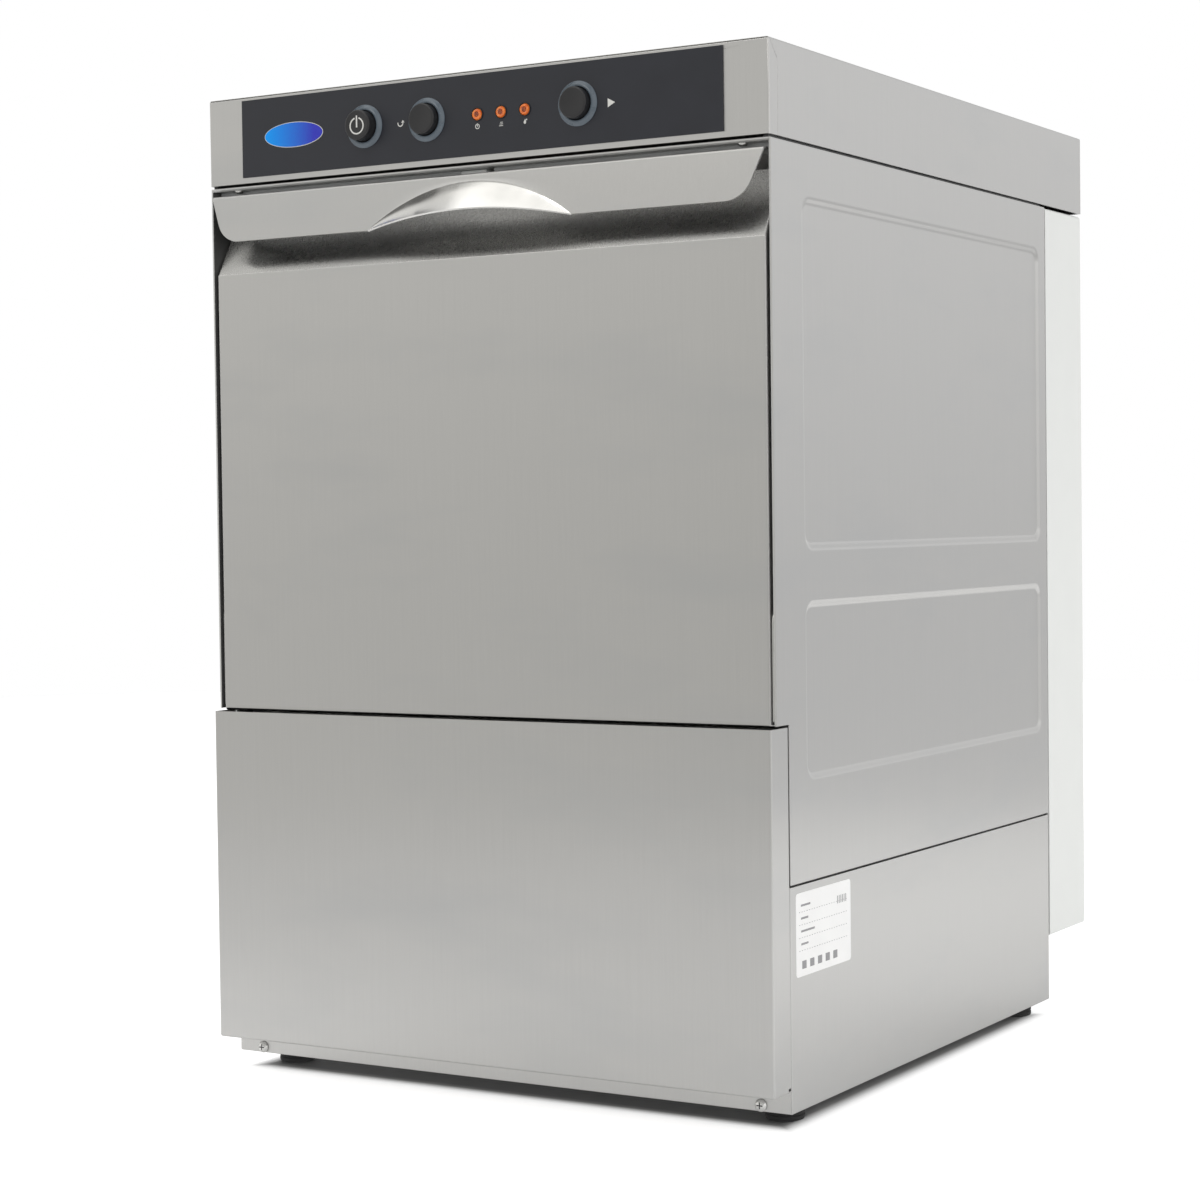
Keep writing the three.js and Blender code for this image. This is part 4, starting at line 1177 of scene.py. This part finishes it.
def recess_shade_cross(x, z, depth, reach=2.1, width=0.8):
    """A dark cross, painted shade, that reads as the recess of a screw head."""
    first = rounded_block((2 * reach * MM, 0.3 * MM, width * MM), place(x, depth, z), 0.1 * MM, 1)
    second = rounded_block((width * MM, 0.3 * MM, 2 * reach * MM), place(x, depth, z), 0.1 * MM, 1)
    return joined(first, second)


def build_kick_screws():
    for side in ("left", "right"):
        node = "kick_screw_" + side
        x, z = middle_x(node), sum(height_range(node)) / 2
        seat = depth_range(node)[0] + 2.4
        add_piece(node + "_head", phillips_head(x, z, seat), POLISHED, body_of(node), [node],
                  smooth=30)
        # The black cross is painted shade in the screw's recess.
        add_piece(node + "_cross_shade", recess_shade_cross(x, z, seat - 2.2), BLACK, "cabinet")


def build_feet():
    for place_name in ("front_left", "front_right", "rear_left", "rear_right"):
        node = "foot_" + place_name
        x = middle_x(node)
        depth = sum(depth_range(node)) / 2
        profile = [(0, 0), (11, 0), (12.1, 0.5), (12.5, 1.5), (12.5, 3.2), (12.0, 3.5), (12.0, 4.1),
                   (12.5, 4.4), (12.5, 7), (12.1, 7.7), (10, 10.5), (4, 10.6), (4, 22), (0, 22)]
        add_piece(node + "_pad", turned_up(profile, x, depth), RUBBER, body_of(node), [node])


def ribbed(radius, start, end, pitch, groove):
    """A profile run from start to end with round grooves, for threads and grips."""
    points = []
    turns = int(abs(end - start) / pitch)
    step = (end - start) / turns
    for i in range(turns):
        base = start + i * step
        points += [(radius, base), (radius, base + step * 0.35), (radius - groove, base + step * 0.6),
                   (radius - groove, base + step * 0.75)]
    return points + [(radius, end)]


def build_rear_fittings():
    node = "drain_spigot"
    x, z = middle_x(node), sum(height_range(node)) / 2
    barbs = []
    for depth in (460, 467, 474, 481):
        barbs += [(11.0, depth), (12.0, depth + 1.2), (10.9, depth + 6.6)]
    profile = [(9, 430), (12, 430), (12, 455), (15.6, 455), (16, 455.5), (16, 458.5), (15.6, 459)]
    profile += barbs + [(10.6, 487.6), (10.2, 488), (9.3, 488), (9, 487.5), (9, 430)]
    add_piece(node + "_barbed", turned_front(profile, x, z), GREY, body_of(node), [node])

    node = "inlet_valve"
    x, z = middle_x(node), 40
    thread = ribbed(13, 456, 475, 1.9, 0.8)
    profile = [(9.2, 438), (13, 438), (13, 450)] + thread + [(12.4, 476), (9.6, 476), (9.2, 475.4),
                                                             (9.2, 438)]
    spout = turned_front(profile, x, z)
    housing = rounded_block((28 * MM, 28 * MM, 28 * MM), place(x, 426, z), 2 * MM)
    coil = turned_up([(0, 53), (10.4, 53), (11, 53.6), (11, 83.2), (10.2, 84), (0, 84)], x, 426)
    add_piece(node + "_body", joined(housing, spout, coil), GREY, body_of(node), [node])

    node = "cable_gland"
    x, z = 190, 41
    nut_back = 458
    lobes = bmesh.new()
    outline = []
    for i in range(48):
        angle = 2 * math.pi * i / 48
        radius = 12.6 + 0.35 * math.cos(12 * angle)
        outline.append((radius * math.cos(angle), radius * math.sin(angle)))
    front = [lobes.verts.new(place(x + u, 451, z + v)) for u, v in outline]
    rear = [lobes.verts.new(place(x + u, nut_back, z + v)) for u, v in outline]
    for i in range(48):
        j = (i + 1) % 48
        lobes.faces.new((front[i], front[j], rear[j], rear[i]))
    lobes.faces.new(front)
    lobes.faces.new(list(reversed(rear)))
    taper = [(4.6, 440), (10, 440), (10, 458)] + ribbed(12, 458, 476, 3, 0.5)
    taper += [(11.2, 478.5), (9.4, 484), (8, 489), (7.4, 490), (5.0, 490), (4.6, 489.4), (4.6, 440)]
    add_piece(node + "_nut", joined(lobes, turned_front(taper, x, z)), BLACK, body_of(node),
              [node])


def build_rating_label():
    """A data sticker low on the right side, with plain bars where print would be."""
    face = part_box("base_chassis")[1].x / MM
    first_depth, last_depth, bottom, top = 24.6, 102.6, 94.4, 146.4
    width, height = last_depth - first_depth, top - bottom
    middle = ((first_depth + last_depth) / 2, (bottom + top) / 2)

    def to_place(u, v, w):
        return place(face + w, middle[0] + u, middle[1] + v)

    sticker = flat_shape(rounded_rectangle(width, height, 2.5), 0.12, to_place)
    add_piece("rating_label", sticker, LABEL, "cabinet")

    def ink(u, v, w):
        return to_place(u, v, 0.12 + w)

    bars = bmesh.new()
    left = -width / 2 + 7
    for z, length in ((18, 13), (10, 10), (2, 19), (-6, 10)):
        joined(bars, flat_shape(bar(length, 1.3, left + length / 2, z), 0.03, ink))
        for k in range(20):
            joined(bars, flat_shape(bar(1.7, 0.3, left - 2 + 3.5 * k, z - 4), 0.03, ink))
    for k in range(6):
        joined(bars, flat_shape(bar(1.0, 5, width / 2 - 19 + 2.4 * k, 15), 0.03, ink))
    for k in range(5):
        joined(bars, flat_shape(bar(6, 5, left + 4 + 11 * k, -19), 0.03, ink))
    add_piece("rating_label_bars", bars, LABEL_INK, "cabinet")


# ---- Door hardware -------------------------------------------------------------------------------

def build_gasket():
    """A hollow-looking bulb seal that follows the mouth, a little proud of its carrier."""
    node = "door_gasket"
    lowest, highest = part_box(node)
    front, back = depth_range(node)
    half = highest.x / MM
    bottom, top = lowest.z / MM, highest.z / MM
    middle_z = (bottom + top) / 2
    bm = bmesh.new()
    section = [(0.0, back), (0.3, front + 0.6), (1.6, front + 0.05), (3.2, front + 0.6), (4.4, front + 1.4),
               (6.6, front + 1.2), (7.7, front + 1.7), (8.0, back)]
    loops = []
    for inset, depth in section:
        outline = rounded_rectangle(2 * (half - inset), top - bottom - 2 * inset, 22 - inset, steps=9)
        loops.append([bm.verts.new(place(u, depth, middle_z + v)) for u, v in outline])
    loops.append(loops[0])
    for first, second in zip(loops, loops[1:]):
        for i in range(len(first)):
            j = (i + 1) % len(first)
            bm.faces.new((first[i], first[j], second[j], second[i]))
    bmesh.ops.recalc_face_normals(bm, faces=bm.faces)
    add_piece(node + "_seal", bm, RUBBER, body_of(node), [node], smooth=50)


def build_hinges():
    for side, sign in (("left", -1), ("right", 1)):
        refine("hinge_bracket_" + side, POLISHED, radius=0.2 * MM)
        node = "hinge_pin_" + side
        inner, outer = 182 * sign, 213.2 * sign
        depth, z = sum(depth_range(node)) / 2, sum(height_range(node)) / 2
        chamfer = 0.6 * sign
        profile = [(0, inner), (3.4, inner), (4, inner + chamfer), (4, inner + 3 * sign),
                   (3.6, inner + 3.2 * sign), (3.6, inner + 4.2 * sign), (4, inner + 4.4 * sign),
                   (4, outer - chamfer), (3.4, outer), (0, outer)]
        add_piece(node + "_rod", turned_across(profile, depth, z), POLISHED, body_of(node),
                  [node])
        build_spring(side, sign, depth, z)


def build_spring(side, sign, depth, z):
    node = "door_spring_" + side
    turns, coil, pitch, start, steps = 4, 5.5, 4.4, 187, 28
    points = []
    for i in range(turns * steps + 1):
        turn = i / steps
        angle = turn * 2 * math.pi
        points.append(place(sign * (start + turn * pitch), depth + coil * math.sin(angle),
                            z + coil * math.cos(angle)))
    last = sign * (start + turns * pitch)
    points += [place(last, depth + 3.2, z + 6.3), place(last, depth + 4.2, z + 9),
               place(last, depth + 4.7, z + 18), place(last, depth + 5, z + 30)]
    add_piece(node + "_wire", swept(points, 0.8 * MM, sides=10), CAST, body_of(node), [node])


# ---- Wash chamber --------------------------------------------------------------------------------

ARM_DEPTH = 242.5


def arm_outline(length, hub, tip, steps=14):
    """Half-lengths, hub and tip radii of a spray arm; a waisted shape seen from above."""
    outline = []
    for i in range(steps + 1):
        angle = math.radians(-90 + 180 * i / steps)
        outline.append((length - tip + tip * math.cos(angle), tip * math.sin(angle)))
    for i in range(9):
        x = hub * 1.5 - 3 * hub * i / 8
        swell = math.cos(math.pi * x / (3 * hub)) ** 2
        outline.append((x, tip + (hub - tip) * swell))
    mirrored = [(-u, -v) for u, v in outline]
    return outline + mirrored


def build_arm(node, length, hub, tip, jets, upwards):
    """A pressed spray arm with rounded edges and jets on the side that faces the rack."""
    bottom, top = height_range(node)
    height = top - bottom
    outline = arm_outline(length, hub, tip)

    def to_place(u, v, w):
        return place(u, ARM_DEPTH + v, bottom + w)

    bm = flat_shape(outline, height, to_place)
    edges = [e for e in bm.edges if len(e.link_faces) == 2 and e.calc_face_angle(0) > math.radians(50)]
    bevel_mm(bm, edges, min(3.4, height * 0.3))
    face = top if upwards else bottom
    step = 1 if upwards else -1
    for x, y in jets:
        nozzle = turned_up([(0, face - 0.6 * step), (3.4, face - 0.6 * step), (3.4, face),
                            (2.6, face + 0.5 * step), (1.4, face + 0.5 * step), (1.2, face - 0.3 * step),
                            (0, face - 0.3 * step)], x, ARM_DEPTH + y, 20)
        joined(bm, nozzle)
    add_piece(node + "_pressing", bm, POLISHED, body_of(node), [node], smooth=40)


def bevel_mm(bm, edges, radius, segments=4):
    bmesh.ops.bevel(bm, geom=edges, offset=radius * MM, segments=segments, profile=0.5, affect="EDGES",
                    clamp_overlap=True)


def build_arms():
    wash_jets = [(side * x, side * y) for side in (-1, 1) for x,
                 y in ((45, 3), (80, -3), (115, 3), (150, 0))]
    rinse_jets = [(side * x, 0) for side in (-1, 1) for x in (40, 70, 100, 130, 154)]
    for level, upwards in (("lower", True), ("upper", False)):
        build_arm(level + "_wash_arm", 168, 24, 13, wash_jets, upwards)
        build_arm(level + "_rinse_arm", 164, 15, 6.5, rinse_jets, upwards)

    node = "lower_spindle"
    foot = height_range(node)[0]
    profile = [(0, foot), (23.4, foot), (24, foot + 0.6), (24, 171.4), (23, 172), (15.5, 175), (14, 178),
               (12, 230), (14.6, 232.6), (15, 233.2), (15, 237.6), (14.6, 238), (9, 238), (9, 256), (5,
                                                                                                     256),
               (5, 274), (0, 274)]
    add_piece(node + "_post", turned_up(profile, 0, ARM_DEPTH), GREY, body_of(node), [node])

    node = "upper_spindle"
    roof = height_range(node)[1]
    stem = turned_up([(0, 546), (5, 546), (5, 563.6), (9, 563.6), (9, 583), (0, 583)], 0, ARM_DEPTH)
    block = rounded_block((28 * MM, 28 * MM, (roof - 582) * MM), place(0, ARM_DEPTH, (roof + 582) / 2),
                          1.5 * MM)
    add_piece(node + "_block", joined(stem, block), GREY, body_of(node), [node])

    for level, upwards in (("lower", True), ("upper", False)):
        build_nut(level + "_arm_nut", upwards)
    build_riser()


def build_nut(node, upwards):
    """A hand nut with finger lobes."""
    bottom, top = height_range(node)
    segments = 60
    rows = [(11, 0), (12.4, 1.6), (13, 3.4), (13, 11), (12.2, 12.6), (10.6, 13.8), (8.6, 14.2),
            (0.01, 14.2)]
    bm = bmesh.new()
    rings = []
    for radius, rise in rows:
        height = bottom + rise if upwards else top - rise
        ring = []
        for i in range(segments):
            angle = 2 * math.pi * i / segments
            wave = 1 - 0.075 * (0.5 + 0.5 * math.cos(6 * angle)) * min(1, radius / 11)
            ring.append(bm.verts.new(place(radius * wave * math.cos(angle),
                                           ARM_DEPTH + radius * wave * math.sin(angle), height)))
        rings.append(ring)
    for first, second in zip(rings, rings[1:]):
        for i in range(segments):
            j = (i + 1) % segments
            bm.faces.new((first[i], first[j], second[j], second[i]))
    bm.faces.new(rings[0])
    bm.faces.new(rings[-1])
    bmesh.ops.recalc_face_normals(bm, faces=bm.faces)
    add_piece(node + "_grip", bm, BLUE, body_of(node), [node], smooth=45)


def catmull(points, steps):
    """A smooth line through the points."""
    padded = [points[0]] + list(points) + [points[-1]]
    line = []
    for a, b, c, d in zip(padded, padded[1:], padded[2:], padded[3:]):
        for i in range(steps):
            t = i / steps
            line.append(0.5 * (2 * b + (c - a) * t + (2 * a - 5 * b + 4 * c - d) * t ** 2
                               + (3 * b - a - 3 * c + d) * t ** 3))
    line.append(points[-1])
    return line


def build_riser():
    node = "riser_pipe"
    bottom = height_range(node)[0]
    depth, run = 437, 594.5
    route = [(0, depth, bottom), (0, depth, 260), (0, depth, 420), (0, depth, 564), (0, depth - 2, 581),
             (0, depth - 12, 592), (0, depth - 28, run), (0, 330, run), (0, ARM_DEPTH + 14.3, run)]
    line = catmull([place(*p) for p in route], 6)
    add_piece(node + "_tube", swept(line, 8.9 * MM, sides=28), GREY, body_of(node), [node])


def build_filter():
    """A perforated tray with rows of real holes."""
    node = "tank_filter"
    lowest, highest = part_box(node)
    top = highest.z / MM
    bottom = top - 1.5
    half = highest.x / MM
    first, last = depth_range(node)
    across_count, deep_count = 36, 32
    pitch_x, pitch_y = 2 * half / across_count, (last - first) / deep_count
    hole, corners = 3.4, 8
    openings = [(0, ARM_DEPTH, 24), (150, 395, 20)]
    bm = bmesh.new()

    def cell(cx, cy):
        rim = []
        for k in range(corners):
            angle = 2 * math.pi * (k + 0.5) / corners
            u, v = math.cos(angle), math.sin(angle)
            stretch = 1 / max(abs(u), abs(v))
            rim.append(((cx + u * stretch * pitch_x / 2, cy + v * stretch * pitch_y / 2),
                        (cx + u * hole, cy + v * hole)))
        return rim

    for i in range(across_count):
        for j in range(deep_count):
            cx, cy = -half + (i + 0.5) * pitch_x, first + (j + 0.5) * pitch_y
            if any(math.hypot(cx - ox, cy - oy) < reach for ox, oy, reach in openings):
                continue
            rim = cell(cx, cy)
            for k in range(corners):
                (a, b), (c, d) = rim[k], rim[(k + 1) % corners]
                top_quad = [bm.verts.new(place(x, y, top)) for x, y in (a, c, d, b)]
                low_quad = [bm.verts.new(place(x, y, bottom)) for x, y in (b, d, c, a)]
                bm.faces.new(top_quad)
                bm.faces.new(low_quad)
                wall = [bm.verts.new(place(x, y, z)) for (x, y), z in (
                    (b, top), (d, top), (d, bottom), (b, bottom))]
                bm.faces.new(wall)
    bmesh.ops.remove_doubles(bm, verts=bm.verts, dist=5e-6)
    for depth in (first + 0.75, last - 0.75):
        joined(bm, rounded_block((2 * half * MM, 1.5 * MM, 13.5 * MM), place(0, depth, top - 6.75),
                                 0.3 * MM))
    for x, depth, reach in openings:
        inner = reach - 4.5
        collar = turned_up([(inner, bottom - 0.1), (reach + 3, bottom - 0.1), (reach + 3, top + 0.0),
                            (inner, top), (inner, bottom - 0.1)], x, depth)
        joined(bm, collar)
    add_piece(node + "_mesh", bm, INNER_STEEL, body_of(node), [node], smooth=30)


def build_chamber_fittings():
    node = "overflow_pipe"
    foot = height_range(node)[0]
    profile = [(11, foot), (16, foot), (16, 172), (14, 176), (14, 222), (14.6, 223), (14.6, 229),
               (13.8, 230), (11.4, 230), (11, 229.4), (11, foot)]
    add_piece(node + "_tube", turned_up(profile, 150, 395), GREY, body_of(node), [node])

    node = "tank_element"
    legs, reach, height, wall = 70, 120, 186, 448.7
    route = [(-legs, wall), (-legs, 330), (-legs, 190), (-legs * 0.72, reach + 16), (0, reach),
             (legs * 0.72, reach + 16), (legs, 190), (legs, 330), (legs, wall)]
    line = catmull([place(x, y, height) for x, y in route], 10)
    add_piece(node + "_rod", swept(line, 4.2 * MM, sides=20), CAST, body_of(node), [node])

    for side in ("left", "right"):
        refine("rack_rail_" + side, INNER_STEEL, radius=0.4 * MM)
    refine("door_catch", PALE, radius=0.8 * MM)
    catch_low, catch_high = (corner.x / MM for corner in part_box("door_catch"))
    # Grey strips under the front edge of the roof: a painted reflection, the lit band that the roof's
    # underside shows above the handle.
    for side, left, right in (("left", -BODY_HALF + 2, catch_low - 0.6),
                              ("right", catch_high + 5, BODY_HALF - 2)):
        size = Vector((right - left, 1.5, 2.8)) * MM
        add_piece("roof_reflection_strip_" + side, rounded_block(size, place((left + right) / 2, 9.8, 604),
                                                      0.4 * MM), ROOF_BAND_GREY,
                  "cabinet")


def build_rack():
    """The glass basket: softened walls, and a fine lattice across the cells of its floor."""
    node = "glass_rack"
    lowest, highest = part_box(node)
    bm = cad_copy(node)
    round_edges(bm, 0.9 * MM, None, segments=2, sharper=40)
    half = highest.x / MM
    bottom = lowest.z / MM
    cells, border, bar_width = 6, 10, 9
    pitch = (2 * half - 2 * border) / cells
    for i in range(cells):
        for k in (1, 2):
            offset = -half + border + i * pitch + bar_width / 2 + k * (pitch - bar_width) / 3
            span = (2 * half - 2 * border) * MM
            joined(bm, rounded_block((2.4 * MM, span, 3 * MM), place(offset, ARM_DEPTH, bottom + 3.2),
                                     0.6 * MM))
            joined(bm, rounded_block((span, 2.4 * MM, 3 * MM), place(0, ARM_DEPTH + offset, bottom + 3.2),
                                     0.6 * MM))
    add_piece(node + "_basket", bm, BLUE, body_of(node), [node], smooth=35)


# ---- Works in the base and the head --------------------------------------------------------------

def build_machinery():
    refine("wash_pump", CAST, radius=0.8 * MM, sharper=30)
    refine("drain_pump", GREY, radius=0.8 * MM, sharper=30)
    refine("boiler", POLISHED, radius=1.2 * MM, sharper=15)
    refine("control_board", BOARD, radius=0.2 * MM)
    refine("dosing_pump", BLUE, radius=0.8 * MM, sharper=30)
    refine("pressure_switch", GREY, radius=0.5 * MM, sharper=20)
    for name in ("power", "cycle", "start"):
        refine(name + "_switch", GREY, radius=0.5 * MM, sharper=30)


build_head()
for button in ("power", "cycle", "start"):
    build_button(button)
for lamp in ("power", "heating", "cycle"):
    build_lamp(lamp)
build_prints()
build_door_outer()
build_door_inner()
build_handle()
build_body()
build_roof_screws()
build_joint_shades()
build_base()
build_kick_panel()
build_kick_screws()
build_feet()
build_rear_fittings()
build_rating_label()
build_gasket()
build_hinges()
build_arms()
build_filter()
build_chamber_fittings()
build_rack()
build_machinery()

add_world()
add_stage()
add_sun("softbox", (-0.15, -0.76, 0.63), strength=0.35, angle=28, colour=(1.0, 0.985, 0.96))
add_sun("side_fill", (1.0, -0.30, 0.45), strength=0.6, angle=80, colour=(1.0, 1.0, 1.0))
add_camera()
bpy.context.scene.view_settings.view_transform = "Standard"
